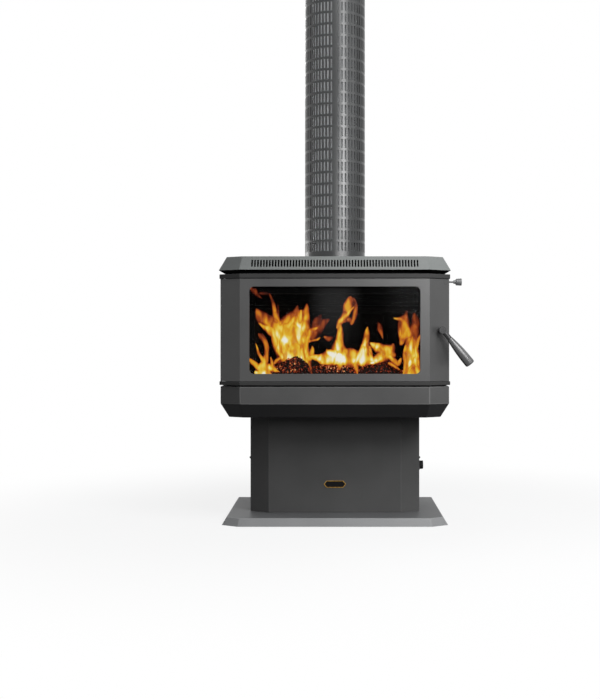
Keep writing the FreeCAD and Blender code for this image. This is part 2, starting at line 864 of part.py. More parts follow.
def door_frame():
    shell = prism(body_plan, door_bottom, door_top)
    shell = shell.cut(prism(inset(body_plan, door_plate), door_bottom, door_top))
    shell = shell.common(box((-body_half, body_half), (front, door_end), (door_bottom, door_top)))
    half = window_width / 2
    deep = (front, front + door_plate)
    shell = shell.cut(rounded_bar((-half, half), deep, (window_bottom, window_top), window_corner))
    rib_y = (front + door_plate, front + door_plate + rope_rib_deep)
    for grow in (0, rope_rib + 2 * rope_gap + rope_d):
        inner = box((-rib_half - grow, rib_half + grow), rib_y, (rib_low - grow, rib_high + grow))
        wide = grow + rope_rib
        outer = box((-rib_half - wide, rib_half + wide), rib_y, (rib_low - wide, rib_high + wide))
        shell = shell.fuse(outer.cut(inner))
    for x, z in retainer_screw_points():
        boss = rod(2 * retainer_screw_r, (x, front + door_plate, z), (0, 1, 0), glass_back - door_plate)
        tapped = rod(retainer_screw_r, (x, front + door_plate, z), (0, 1, 0), glass_back - door_plate)
        shell = shell.fuse(boss).cut(tapped)
    for low in (door_bottom, door_top - hinge_barrel_length):
        shell = shell.fuse(rod(hinge_barrel_r, (hinge_x, hinge_y, low), (0, 0, 1), hinge_barrel_length))
    shell = shell.cut(rod(hinge_pin_r, (hinge_x, hinge_y, door_bottom), (0, 0, 1), hinge_pin_deep))
    shell = shell.cut(rod(hinge_pin_r, (hinge_x, hinge_y, door_top), (0, 0, -1), hinge_pin_deep))
    return shell.cut(rod(handle_bush_r, (handle_x, hub_back, handle_z), (0, 1, 0), bush_end - hub_back))


def retainer_screw_points():
    x = (glass_half + rib_half) / 2
    steps = (-retainer_screw_step, 0, retainer_screw_step)
    return [(side * x, window_middle + step) for side in (-1, 1) for step in steps]


def glass_gasket():
    deep = (front + door_plate, front + glass_front)
    outer = box((-glass_half, glass_half), deep, (glass_low, glass_high))
    x = glass_half - gasket_width
    inner = box((-x, x), deep, (glass_low + gasket_width, glass_high - gasket_width))
    return outer.cut(inner)


def door_glass():
    return box((-glass_half, glass_half), (front + glass_front, front + glass_back), (glass_low, glass_high))


def glass_retainer():
    deep = (front + glass_back, front + glass_back + retainer_gauge)
    outer = box((-rib_half, rib_half), deep, (rib_low, rib_high))
    x = glass_half - retainer_cover
    inner = box((-x, x), deep, (glass_low + retainer_cover, glass_high - retainer_cover))
    holes = [
        rod(retainer_screw_r + screw_clearance, (x, deep[0], z), (0, 1, 0), retainer_gauge)
        for x, z in retainer_screw_points()
    ]
    return outer.cut(inner).cut(Part.makeCompound(holes))


def retainer_screws():
    start = front + glass_back + retainer_gauge
    shank = glass_back - door_plate + retainer_gauge
    r = retainer_screw_r
    return [
        dome_screw((x, start, z), (0, 1, 0), retainer_screw_head_r, r, r, shank)
        for x, z in retainer_screw_points()
    ]


def door_rope_seal():
    y = front + door_plate + rope_gap + rope_d / 2
    r = rope_d / 2
    across = 2 * rope_half
    tall = rope_high - rope_low
    runs = [
        rod(r, (-rope_half, y, rope_low), (1, 0, 0), across),
        rod(r, (-rope_half, y, rope_high), (1, 0, 0), across),
        rod(r, (-rope_half, y, rope_low), (0, 0, 1), tall),
        rod(r, (rope_half, y, rope_low), (0, 0, 1), tall),
    ]
    corners = [
        Part.makeSphere(r, Vec(x, y, z)) for x in (-rope_half, rope_half) for z in (rope_low, rope_high)
    ]
    return runs[0].fuse(runs[1:] + corners)


def hinge_pins():
    collar = (lower_band_top + running_clearance, door_bottom)
    low = rod(hinge_pin_r, (hinge_x, hinge_y, lower_band_bottom), (0, 0, 1),
              door_bottom + hinge_pin_deep - lower_band_bottom)
    low = low.fuse(rod(hinge_bush_r, (hinge_x, hinge_y, collar[0]), (0, 0, 1), collar[1] - collar[0]))
    high = rod(hinge_pin_r, (hinge_x, hinge_y, upper_band_top), (0, 0, -1),
               upper_band_top - door_top + hinge_pin_deep)
    return [low, high]


def handle_bush():
    sleeve = rod(handle_bush_r, (handle_x, hub_back, handle_z), (0, 1, 0), bush_end - hub_back)
    bore = rod(spindle_r + running_clearance, (handle_x, hub_back, handle_z), (0, 1, 0), bush_end - hub_back)
    return sleeve.cut(bore)


# Handle and latch


def handle_direction():
    angle = math.radians(handle_droop)
    return (math.cos(angle), 0, -math.sin(angle))


def handle_hub():
    hub = rod(handle_hub_r, (handle_x, hub_front, handle_z), (0, 1, 0), handle_hub_length)
    spindle_end = cam_back + nut_gauge
    return hub.fuse(rod(spindle_r, (handle_x, hub_front, handle_z), (0, 1, 0), spindle_end - hub_front))


def handle_neck():
    neck = rod(handle_neck_r, (handle_x, handle_y, handle_z), handle_direction(), handle_neck_end)
    return neck.cut(rod(handle_hub_r, (handle_x, hub_front, handle_z), (0, 1, 0), handle_hub_length))


def handle_grip():
    shoulder = handle_reach - handle_tip
    swell_at = handle_neck_end + grip_swell_at * (shoulder - handle_neck_end)
    swell = Vec(grip_swell * handle_grip_end_r, 0, swell_at)
    bulge = Vec(grip_bulge * handle_grip_end_r, 0, shoulder + grip_bulge_at * handle_tip)
    crown = Vec(grip_crown * handle_grip_end_r, 0, handle_reach)
    edge = [
        Part.makeLine(Vec(0, 0, handle_neck_end), Vec(handle_grip_r, 0, handle_neck_end)),
        Part.Arc(Vec(handle_grip_r, 0, handle_neck_end), swell, Vec(handle_grip_end_r, 0, shoulder)).toShape(),
        Part.Arc(Vec(handle_grip_end_r, 0, shoulder), bulge, crown).toShape(),
        Part.makeLine(crown, Vec(0, 0, handle_reach)),
        Part.makeLine(Vec(0, 0, handle_reach), Vec(0, 0, handle_neck_end)),
    ]
    grip = turned(Part.Wire(edge), (0, 0, 0), (0, 0, 1))
    return placed(grip, (handle_x, handle_y, handle_z), handle_direction())


def latch_cam():
    arm = box((handle_x - cam_length, handle_x), (cam_front, cam_back),
              (handle_z - cam_width / 2, handle_z + cam_width / 2))
    hub = rod(cam_hub_r, (handle_x, cam_front, handle_z), (0, 1, 0), cam_gauge)
    return arm.fuse(hub).cut(rod(spindle_r, (handle_x, cam_front, handle_z), (0, 1, 0), cam_gauge))


def spindle_nut():
    corners = []
    for i in range(6):
        angle = math.pi * i / 3
        corners.append(Vec(handle_x + nut_r * math.cos(angle), cam_back, handle_z + nut_r * math.sin(angle)))
    nut = Part.Face(Part.makePolygon(corners + corners[:1])).extrude(Vec(0, nut_gauge, 0))
    return nut.cut(rod(spindle_r, (handle_x, cam_back, handle_z), (0, 1, 0), nut_gauge))


def latch_keeper():
    levels = (handle_z - keeper_height / 2, handle_z + keeper_height / 2)
    back = cam_front - latch_gap
    near = back - keeper_gauge
    ear = box((firebox_outer, firebox_outer + keeper_reach), (near, back), levels)
    foot = box((firebox_outer, firebox_outer + keeper_gauge), (near, back + keeper_reach), levels)
    return ear.fuse(foot)


# Air control


def air_box():
    wide = (firebox_outer, air_box_end)
    deep = (air_y - air_box_width / 2, air_y + air_box_width / 2)
    tall = (air_box_low, air_box_low + air_box_height)
    t = air_box_sheet
    case = box(wide, deep, tall)
    hollow = box((wide[0], wide[1] - t), (deep[0] + t, deep[1] - t), (tall[0] + t, tall[1] - t))
    port_wide = (wide[0] + t, wide[0] + air_plate_length)
    port = box(port_wide, (deep[0] + 3 * t, deep[1] - 3 * t), (tall[0], tall[0] + t))
    bore = rod(air_rod_r + slide_clearance, (wide[1] - t, air_y, air_z), (1, 0, 0), t)
    return case.cut(hollow).cut(port).cut(bore)


def air_plate_start():
    return firebox_outer + air_travel_in + slide_clearance


def air_slide_plate():
    t = air_box_sheet
    start = air_plate_start()
    half = air_box_width / 2 - t - slide_clearance
    low = air_box_low + t + slide_clearance / 2
    wide = (start, start + air_plate_length)
    plate = box(wide, (air_y - half, air_y + half), (low, low + air_plate_gauge))
    lug = box((wide[1] - 2 * air_plate_gauge, wide[1]), (air_y - 2 * air_rod_r, air_y + 2 * air_rod_r),
              (low, air_z + air_rod_r + air_lug_cover))
    return plate.fuse(lug)


def air_rod():
    start = air_plate_start() + air_plate_length
    end = body_half + air_knob_standoff
    shaft = rod(air_rod_r, (start, air_y, air_z), (1, 0, 0), end - start)
    collar = rod(air_collar_r, (end - air_collar_length, air_y, air_z), (1, 0, 0), air_collar_length)
    return shaft.fuse(collar)


def air_knob():
    start = (body_half + air_knob_standoff, air_y, air_z)
    knob = Part.makeCone(air_knob_neck_r, air_knob_r, air_knob_length, Vec(*start), Vec(1, 0, 0))
    rim = [e for e in knob.Edges if e.BoundBox.XLength < flat]
    return knob.makeFillet(air_knob_rounding, rim)


# Fan in the pedestal


def fan_bracket():
    tab_x = pedestal_half - casing_sheet
    y = front + side_screw_setback
    z = base_height + side_screw_rise
    half = fan_bracket_width / 2
    g = fan_bracket_gauge
    strap = box((-tab_x, tab_x), (y - half, y + half), (z - half, z - half + g))
    for side in (-1, 1):
        tab = box(sorted((side * tab_x, side * (tab_x - g))), (y - half, y + half), (z - half, z + half))
        strap = strap.fuse(tab).cut(side_screw_hole(side))
    hanger = box((-fan_wall, fan_wall), (y - half, y - half + g), (fan_z, z - half))
    return strap.fuse(hanger)


def fan_housing():
    t = fan_housing_sheet
    strap_y = front + side_screw_setback - fan_bracket_width / 2
    near = strap_y + fan_bracket_gauge
    far = fan_y + fan_rotor_r + fan_housing_gap
    low = fan_z - fan_rotor_r - fan_housing_gap
    high = fan_z + fan_rotor_r + fan_housing_gap
    case = box((-fan_wall, fan_wall), (near, far), (low, high))
    wide = (-fan_wall + t, fan_wall - t)
    hollow = box(wide, (near + t, far - t), (low + t, high - t))
    outlet = box(wide, (far - t - fan_outlet, far - t), (high - t, high))
    inlet = box(wide, (far - t, far), (fan_z - fan_outlet / 2, fan_z + fan_outlet / 2))
    case = case.cut(hollow).cut(outlet).cut(inlet)
    bearing = rod(fan_shaft_r + running_clearance, (-fan_wall, fan_y, fan_z), (1, 0, 0), 2 * fan_wall)
    return case.cut(bearing)


def fan_rotor():
    cage = []
    for x in (-fan_half, -fan_disc / 2, fan_half - fan_disc):
        cage.append(rod(fan_rotor_r, (x, fan_y, fan_z), (1, 0, 0), fan_disc))
    for i in range(fan_blade_count):
        inner = fan_rotor_r - fan_blade_deep
        blade = box((-fan_half, fan_half), (fan_y + inner, fan_y + fan_rotor_r - fan_blade_gauge),
                    (fan_z - fan_blade_gauge / 2, fan_z + fan_blade_gauge / 2))
        blade.rotate(Vec(0, fan_y, fan_z), Vec(1, 0, 0), 360 * i / fan_blade_count)
        cage.append(blade)
    cage = cage[0].fuse(cage[1:])
    return cage.cut(rod(fan_shaft_r, (-fan_half, fan_y, fan_z), (1, 0, 0), fan_rotor_length))


def fan_shaft():
    end = fan_wall + fan_motor_length / 2
    return rod(fan_shaft_r, (-fan_wall, fan_y, fan_z), (1, 0, 0), fan_wall + end)


def fan_motor():
    case = rod(fan_motor_r, (fan_wall, fan_y, fan_z), (1, 0, 0), fan_motor_length)
    middle = fan_wall + fan_motor_length / 2
    rim = [e for e in case.Edges if e.BoundBox.XMin > middle]
    case = case.makeFillet(fan_motor_rounding, rim)
    bore = rod(fan_shaft_r + running_clearance, (fan_wall, fan_y, fan_z), (1, 0, 0),
               fan_motor_length / 2 + fan_disc)
    return case.cut(bore)


def fan_switch():
    half = switch_size / 2
    wall = pedestal_half - casing_sheet
    case = box((wall - switch_deep, wall), (knob_y - half, knob_y + half), (knob_z - half, knob_z + half))
    start = (wall - switch_deep / 2, knob_y, knob_z)
    return case.cut(rod(switch_shaft_r + running_clearance, start, (1, 0, 0), switch_deep))


def switch_shaft():
    start = pedestal_half - casing_sheet - switch_deep / 2 + fan_knob_clearance
    end = pedestal_half + fan_knob_length / 2
    return rod(switch_shaft_r, (start, knob_y, knob_z), (1, 0, 0), end - start)


def fan_knob():
    start = pedestal_half + fan_knob_clearance
    middle = (start, knob_y, knob_z)
    half = fan_knob_pointer / 2
    skirt = rod(fan_knob_skirt_r, middle, (1, 0, 0), fan_knob_skirt)
    grip = rod(fan_knob_grip_r, middle, (1, 0, 0), fan_knob_length - fan_knob_clearance)
    pointer = box((start, pedestal_half + fan_knob_length), (knob_y - half, knob_y + half),
                  (knob_z, knob_z + fan_knob_skirt_r - 2 * fan_knob_clearance))
    knob = skirt.fuse(grip).fuse(pointer)
    return knob.cut(rod(switch_shaft_r, middle, (1, 0, 0), fan_knob_length / 2 - fan_knob_clearance))


def terminal_box():
    x, z = gland_place()
    half = terminal_size / 2
    deep = (pedestal_rear - casing_sheet - half, pedestal_rear)
    case = box((x - half, x + half), deep, (z - half, z + half))
    hollow = box((x - half + casing_sheet, x + half - casing_sheet), (deep[0] + casing_sheet, deep[1]),
                 (z - half + casing_sheet, z + half - casing_sheet))
    return case.cut(hollow)


def cable_gland():
    x, z = gland_place()
    start = pedestal_rear - gland_length / 3
    outside = pedestal_rear + casing_sheet
    body = rod(gland_thread_r, (x, start, z), (0, 1, 0), outside - start)
    body = body.fuse(rod(gland_r, (x, outside, z), (0, 1, 0), gland_length / 3))
    nose = Vec(x, outside + gland_length / 3, z)
    body = body.fuse(Part.makeCone(gland_r, gland_thread_r, gland_length / 3, nose, Vec(0, 1, 0)))
    return body.cut(rod(gland_hole_r, (x, start, z), (0, 1, 0), 2 * gland_length))


pieces = {
    "floor_plate": floor_plate(),
    "base_plate": base_plate(),
    "pedestal_shell": pedestal_shell(),
    "pedestal_rear_panel": pedestal_rear_panel(),
    "pedestal_rear_screws": pedestal_rear_screws(),
    "pedestal_side_screws": pedestal_side_screws(),
    "badge_plate": badge_plate(),
    "lower_casing": lower_casing(),
    "firebox_rails": firebox_rails(),
    "lower_band_spacers": lower_band_spacers(),
    "lower_band": band(lower_band_bottom, lower_band_top),
    "upper_band": band(upper_band_bottom, upper_band_top),
    "hinge_bushes": hinge_bushes(),
    "side_panel_left": side_panel(-1),
    "side_panel_right": side_panel(1),
    "rear_panel": rear_panel(),
    "rear_panel_screws": rear_panel_screws(),
    "canopy": canopy(),
    "firebox_shell": firebox_shell(),
    "firebrick_floor": firebrick_floor(),
    "firebrick_left": firebrick_side(-1),
    "firebrick_right": firebrick_side(1),
    "firebrick_rear": firebrick_rear(),
    "baffle_plate": baffle_plate(),
    "secondary_air_tubes": secondary_air_tubes(),
    "airwash_channel": airwash_channel(),
    "ember_bed": ember_bed(),
    "fuel_logs": fuel_logs(),
    "flue_spigot": flue_spigot(),
    "flue_pipe": flue_pipe(),
    "flue_guard": flue_guard(),
    "flue_guard_spacers": flue_guard_spacers(),
    "door_frame": door_frame(),
    "glass_gasket": glass_gasket(),
    "door_glass": door_glass(),
    "glass_retainer": glass_retainer(),
    "retainer_screws": retainer_screws(),
    "door_rope_seal": door_rope_seal(),
    "hinge_pins": hinge_pins(),
    "handle_bush": handle_bush(),
    "handle_hub": handle_hub(),
    "handle_neck": handle_neck(),
    "handle_grip": handle_grip(),
    "latch_cam": latch_cam(),
    "spindle_nut": spindle_nut(),
    "latch_keeper": latch_keeper(),
    "air_box": air_box(),
    "air_slide_plate": air_slide_plate(),
    "air_rod": air_rod(),
    "air_knob": air_knob(),
    "fan_bracket": fan_bracket(),
    "fan_housing": fan_housing(),
    "fan_rotor": fan_rotor(),
    "fan_shaft": fan_shaft(),
    "fan_motor": fan_motor(),
    "fan_switch": fan_switch(),
    "switch_shaft": switch_shaft(),
    "fan_knob": fan_knob(),
    "terminal_box": terminal_box(),
    "cable_gland": cable_gland(),
}

os.makedirs("parts", exist_ok=True)
for name, shape in pieces.items():
    solids = shape if isinstance(shape, list) else shape.Solids
    whole = solids[0] if len(solids) == 1 else Part.makeCompound(solids)
    whole.exportStep("parts/" + name + ".step")
    volume = sum(solid.Volume for solid in solids)
    state = "valid" if whole.isValid() else "not valid"
    print(name, len(solids), "solids", round(volume / 1000, 1), "cm3", state)
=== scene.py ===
import json
import math

import bmesh
import bpy
import numpy as np
from mathutils import Matrix, Vector, noise


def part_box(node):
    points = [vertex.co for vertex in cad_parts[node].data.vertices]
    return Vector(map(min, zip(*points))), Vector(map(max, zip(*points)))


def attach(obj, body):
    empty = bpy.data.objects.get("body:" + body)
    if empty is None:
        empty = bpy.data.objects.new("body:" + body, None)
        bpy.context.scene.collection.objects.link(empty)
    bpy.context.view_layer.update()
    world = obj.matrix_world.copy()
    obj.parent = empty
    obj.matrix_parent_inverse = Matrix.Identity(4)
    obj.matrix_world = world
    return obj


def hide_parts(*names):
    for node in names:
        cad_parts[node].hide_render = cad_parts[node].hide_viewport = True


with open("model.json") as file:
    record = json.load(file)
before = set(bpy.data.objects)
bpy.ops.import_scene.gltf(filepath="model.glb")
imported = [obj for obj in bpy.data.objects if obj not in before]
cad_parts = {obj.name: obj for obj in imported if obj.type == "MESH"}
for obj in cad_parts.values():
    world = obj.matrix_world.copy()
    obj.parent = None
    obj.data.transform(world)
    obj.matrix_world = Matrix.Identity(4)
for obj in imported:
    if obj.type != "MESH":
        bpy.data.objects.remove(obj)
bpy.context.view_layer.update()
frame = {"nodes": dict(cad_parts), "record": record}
cadNodes = frame["nodes"]
bodyOf = {node: body for body, names in frame["record"]["behaviour"]["bodies"].items() for node in names}
slotOf = {part["node"]: part["material_slot"] for part in frame["record"]["subparts"]}
mm = 0.001
mergeWithin = 0.005 * mm          # corners of a node's loose triangles are joined within this
print("frame loaded:", len(cadNodes), "nodes")


# Small tools for colours, node trees and pieces

def linear(level):
    share = level / 255
    return share / 12.92 if share <= 0.04045 else ((share + 0.055) / 1.055) ** 2.4


def tone(red, green, blue):
    return (linear(red), linear(green), linear(blue), 1.0)


def setNode(tree, node, settings):
    for key, value in settings.items():
        if isinstance(key, str) and key not in node.inputs:
            setattr(node, key, value)
        elif isinstance(value, bpy.types.NodeSocket):
            tree.links.new(value, node.inputs[key])
        else:
            node.inputs[key].default_value = value


def addNode(tree, kind, settings):
    made = tree.nodes.new(kind)
    setNode(tree, made, settings)
    return made


def nodeOut(tree, kind, settings, pick=0):
    return addNode(tree, kind, settings).outputs[pick]


def math2(tree, operation, first, second=0.0):
    return nodeOut(tree, "ShaderNodeMath", {"operation": operation, 0: first, 1: second})


def weighed(tree, first, second, share):
    rest = math2(tree, "MULTIPLY", second, 1 - share)
    return math2(tree, "ADD", math2(tree, "MULTIPLY", first, share), rest)


def vector2(tree, operation, first, second):
    return nodeOut(tree, "ShaderNodeVectorMath", {
        "operation": operation, 0: first, "Scale" if operation == "SCALE" else 1: second})


def joinedTo(tree, first, second):
    joined = tree.nodes.new("GeometryNodeJoinGeometry")
    for part in (first, second):
        tree.links.new(part, joined.inputs[0])
    return joined.outputs[0]


def objectCoords(tree, stretch=(1, 1, 1)):
    place = nodeOut(tree, "ShaderNodeTexCoord", {}, "Object")
    return nodeOut(tree, "ShaderNodeMapping", {"Vector": place, "Scale": stretch})


def cloud(tree, coords, scale, detail=2.0, distortion=0.0):
    settings = {"Vector": coords, "Scale": scale, "Detail": detail, "Distortion": distortion}
    return nodeOut(tree, "ShaderNodeTexNoise", settings)


def spread(tree, value, fromRange, toRange):
    settings = {"Value": value, "From Min": fromRange[0], "From Max": fromRange[1],
                "To Min": toRange[0], "To Max": toRange[1]}
    return nodeOut(tree, "ShaderNodeMapRange", settings)


def ramp(tree, factor, stops):
    made = addNode(tree, "ShaderNodeValToRGB", {"Fac": factor})
    elements = made.color_ramp.elements
    while len(elements) < len(stops):
        elements.new(0.5)
    for element, (position, colour) in zip(elements, stops):
        element.position = position
        element.color = colour
    return made.outputs[0]


def twoTone(tree, factor, span, first, second):
    return ramp(tree, factor, [(span[0], first), (span[1], second)])


def blendColour(tree, factor, first, second):
    return nodeOut(tree, "ShaderNodeMix", {"data_type": "RGBA", 0: factor, 6: first, 7: second}, 2)


def bump(tree, height, distance):
    return nodeOut(tree, "ShaderNodeBump", {"Height": height, "Distance": distance, "Strength": 1.0})


def startFinish(name):
    material = bpy.data.materials.new(name)
    material.use_nodes = True
    tree = material.node_tree
    tree.nodes.clear()
    shader = addNode(tree, "ShaderNodeBsdfPrincipled", {})
    addNode(tree, "ShaderNodeOutputMaterial", {"Surface": shader.outputs[0]})
    return material, tree, shader


def pieceFrom(name, mesh, materials):
    piece = bpy.data.objects.new(name, mesh)
    bpy.context.scene.collection.objects.link(piece)
    for material in materials:
        mesh.materials.append(material)
    return piece


def meshFrom(bm, name, smooth=True):
    mesh = bpy.data.meshes.new(name)
    bm.to_mesh(mesh)
    bm.free()
    for face in mesh.polygons:
        face.use_smooth = smooth
    return mesh


def frozen(piece):
    bpy.context.view_layer.update()
    graph = bpy.context.evaluated_depsgraph_get()
    mesh = bpy.data.meshes.new_from_object(piece.evaluated_get(graph), depsgraph=graph)
    piece.modifiers.clear()
    piece.data = mesh
    return piece


def startTree(name, inputs):
    tree = bpy.data.node_groups.new(name, "GeometryNodeTree")
    tree.interface.new_socket("Geometry", in_out="INPUT", socket_type="NodeSocketGeometry")
    for label, kind in inputs.items():
        tree.interface.new_socket(label, in_out="INPUT", socket_type="NodeSocket" + kind)
    tree.interface.new_socket("Geometry", in_out="OUTPUT", socket_type="NodeSocketGeometry")
    return tree, tree.nodes.new("NodeGroupInput").outputs


def endTree(tree, geometry, given):
    solid = nodeOut(tree, "GeometryNodeRealizeInstances", {0: geometry})
    coated = nodeOut(tree, "GeometryNodeSetMaterial", {"Geometry": solid, "Material": given["Material"]})
    tree.links.new(coated, tree.nodes.new("NodeGroupOutput").inputs[0])
    return tree


def grown(name, tree, mesh, material, settings):
    piece = pieceFrom(name, mesh, [])
    modifier = piece.modifiers.new(name, "NODES")
    modifier.node_group = tree
    given = dict(settings, Material=material)
    for item in tree.interface.items_tree:
        if item.in_out == "INPUT" and item.name in given:
            modifier[item.identifier] = given[item.name]
    frozen(piece)
    piece.data.materials.clear()
    piece.data.materials.append(material)
    for face in piece.data.polygons:
        face.material_index = 0
    return piece


def standsFor(piece, node):
    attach(piece, bodyOf[node])
    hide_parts(node)


# Finishes

cloudRange = (0.3, 0.7)           # where most of a noise's values lie

paintLook = {
    "casing": {"dark": tone(78, 78, 78), "light": tone(92, 92, 92), "rough": (0.36, 0.44), "shine": 0.07},
    "door": {"dark": tone(62, 62, 62), "light": tone(75, 75, 75), "rough": (0.27, 0.34), "shine": 0.43},
    # painted shade: a darker copy of the casing paint for the lower casing's down-facing faces
    "under": {"dark": tone(35, 35, 36), "light": tone(45, 45, 46), "rough": (0.40, 0.48), "shine": 0.06},
    "canopy": {"dark": tone(102, 105, 104), "light": tone(116, 119, 118),
               "rough": (0.38, 0.46), "shine": 0.16},
    # painted highlight: a lighter copy of the base plate's paint, on all but its top
    "base": {"dark": tone(134, 135, 136), "light": tone(148, 149, 150),
             "rough": (0.34, 0.42), "shine": 0.18},
    # painted shade: a darker copy of the base paint for the base plate's upward faces
    "shadedPlinth": {"dark": tone(88, 89, 90), "light": tone(99, 100, 101), "rough": (0.44, 0.52), "shine": 0.10},
    "band": {"dark": tone(54, 54, 54), "light": tone(63, 63, 63), "rough": (0.38, 0.46), "shine": 0.08},
    "guard": {"dark": tone(22, 24, 25), "light": tone(31, 33, 34), "rough": (0.27, 0.33), "shine": 0.64},
    "grip": {"dark": tone(62, 62, 63), "light": tone(71, 71, 72), "rough": (0.22, 0.28), "shine": 0.60},
    "hub": {"dark": tone(34, 34, 35), "light": tone(42, 42, 43), "rough": (0.28, 0.36), "shine": 0.30},
    "knob": {"dark": tone(66, 67, 68), "light": tone(94, 95, 96), "rough": (0.24, 0.32), "shine": 0.6},
}
coatLook = {
    "foldHighlightLift": {"casing": 1.5, "door": 1.9, "canopy": 1.1, "base": 1.05},   # painted highlight: lighter paint along the fold bevels
    "flake": (2400.0, 1.0),       # scale and detail
    "haze": (5.0, 4.0),
    "peel": (850.0, 2.0),
    "peelDepth": 0.05 * mm,
    "flakeShare": 0.55,           # of the tone, and the haze has the rest
    "toneRange": (0.36, 0.64),
}


def satinPaint(name, ending="Paint", highlightLift=1.0):
    look = paintLook[name]
    material, tree, shader = startFinish(name + ending)
    # a highlightLift above 1 makes a lighter copy for the fold bevels: painted highlight
    tones = [tuple(highlightLift * channel for channel in look[end][:3]) + (1.0,) for end in ("dark", "light")]
    coords = objectCoords(tree)
    flake, haze, peel = [cloud(tree, coords, *coatLook[layer]) for layer in ("flake", "haze", "peel")]
    mixed = weighed(tree, flake, haze, coatLook["flakeShare"])
    setNode(tree, shader, {
        "Base Color": twoTone(tree, mixed, coatLook["toneRange"], *tones),
        "Roughness": spread(tree, haze, cloudRange, look["rough"]),
        "Specular IOR Level": look["shine"],
        "Normal": bump(tree, peel, coatLook["peelDepth"]),
    })
    return material


steelLook = {
    # painted light: the near-white flue stands in for light reaching it through the guard's slots
    "flueSteel": {"dark": tone(240, 242, 243), "light": tone(248, 250, 251), "metallic": 0.6,
                  "rough": (0.55, 0.66), "brush": (90, 90, 3),
                  "shadedRight": {"across": (-0.022, 0.010), "tone": tone(120, 122, 123)}},   # painted shade: darker towards its right side
    "plainSteel": {"dark": tone(132, 133, 134), "light": tone(170, 171, 172), "metallic": 1.0,
                   "rough": (0.28, 0.42), "brush": (60, 300, 300)},
    "motorZinc": {"dark": tone(112, 114, 117), "light": tone(140, 142, 146), "metallic": 1.0,
                  "rough": (0.35, 0.5), "brush": (90, 90, 90)},
}
brushLook = {"streakDetail": 3.0, "patches": (14.0, 3.0), "streakShare": 0.7, "depth": 0.03 * mm}


def brushedSteel(name):
    look = steelLook[name]
    material, tree, shader = startFinish(name)
    streaks = cloud(tree, objectCoords(tree, look["brush"]), 1.0, brushLook["streakDetail"])
    patches = cloud(tree, objectCoords(tree), *brushLook["patches"])
    mixed = weighed(tree, streaks, patches, brushLook["streakShare"])
    colour = twoTone(tree, mixed, cloudRange, look["dark"], look["light"])
    # painted shade: the flue darkens towards its right side
    if "shadedRight" in look:
        across = nodeOut(tree, "ShaderNodeSeparateXYZ", {0: objectCoords(tree)})
        rightShade = spread(tree, across, look["shadedRight"]["across"], (0.0, 1.0))
        colour = blendColour(tree, rightShade, colour, look["shadedRight"]["tone"])
    setNode(tree, shader, {
        "Base Color": colour,
        "Metallic": look["metallic"],
        "Roughness": spread(tree, streaks, cloudRange, look["rough"]),
        "Normal": bump(tree, streaks, brushLook["depth"]),
    })
    return material


grainLook = {                     # grain and pits are given by scale and detail
    # soot, and painted shade where it blackens the hood's inside, underside and slot sides
    "sootedAndShadedSteel": {"grain": (9.0, 6.0), "rough": (0.62, 0.88), "shine": 0.02,
                    "pits": (380.0, 3.0), "depth": 0.2 * mm,
                    "tones": [(0.30, tone(4, 4, 4)), (0.55, tone(8, 8, 8)), (0.78, tone(15, 15, 14))]},
    "screwBlack": {"grain": (420.0, 3.0), "rough": (0.32, 0.5), "metallic": 0.5, "depth": 0.03 * mm,
                   "tones": [(0.35, tone(38, 38, 39)), (0.75, tone(70, 70, 71))]},
    "mouldedPlastic": {"grain": (1600.0, 2.0), "rough": (0.38, 0.55), "shine": 0.12, "depth": 0.04 * mm,
                       "tones": [(0.35, tone(20, 20, 21)), (0.7, tone(31, 31, 32))]},
    "brassRim": {"grain": (300.0, 3.0), "rough": (0.22, 0.4), "metallic": 1.0,
                 "tones": [(0.3, tone(166, 124, 48)), (0.7, tone(214, 170, 84))]},
    "enamelBlack": {"grain": (220.0, 2.0), "rough": (0.2, 0.3), "shine": 0.1, "depth": 0.02 * mm,
                    "tones": [(0.3, tone(9, 9, 10)), (0.7, tone(16, 15, 15))]},
}


def grainedFinish(name):
    look = grainLook[name]
    material, tree, shader = startFinish(name)
    coords = objectCoords(tree)
    grain = cloud(tree, coords, *look["grain"])
    setNode(tree, shader, {
        "Base Color": ramp(tree, grain, look["tones"]),
        "Metallic": look.get("metallic", 0.0),
        "Roughness": spread(tree, grain, cloudRange, look["rough"]),
        "Specular IOR Level": look.get("shine", 0.5),
    })
    if "depth" in look:
        pits = cloud(tree, coords, *look["pits"]) if "pits" in look else grain
        setNode(tree, shader, {"Normal": bump(tree, pits, look["depth"])})
    return material


clayLook = {
    "clay": (tone(26, 24, 22), tone(40, 37, 34)),
    "soot": (tone(6, 6, 6), tone(13, 13, 12)),
    "grit": (260.0, 4.0),
    "sootClouds": (7.0, 5.0),
    "bareRange": (0.52, 0.78),
    "bareShare": (0.0, 0.55),     # of the clay that shows through the soot
    "rough": 0.92,
    "shine": 0.04,
    "depth": 0.5 * mm,
}


def fireClay(look):
    material, tree, shader = startFinish("fireClay")
    coords = objectCoords(tree)
    grit = cloud(tree, coords, *look["grit"])
    bare = spread(tree, cloud(tree, coords, *look["sootClouds"]), look["bareRange"], look["bareShare"])
    black, brick = [twoTone(tree, grit, cloudRange, *look[layer]) for layer in ("soot", "clay")]
    setNode(tree, shader, {
        "Base Color": blendColour(tree, bare, black, brick),
        "Roughness": look["rough"],
        "Specular IOR Level": look["shine"],
        "Normal": bump(tree, grit, look["depth"]),
    })
    return material


fibreLook = {
    "pale": (tone(112, 110, 104), tone(158, 156, 148)),
    "stain": tone(58, 54, 49),
    "strands": (900.0, 4.0),
    "stainClouds": (24.0, 4.0),
    "stainRange": (0.45, 0.75),
    "stainShare": (0.0, 0.8),
    "rough": 0.95,
    "sheen": 0.2,
    "depth": 0.3 * mm,
}


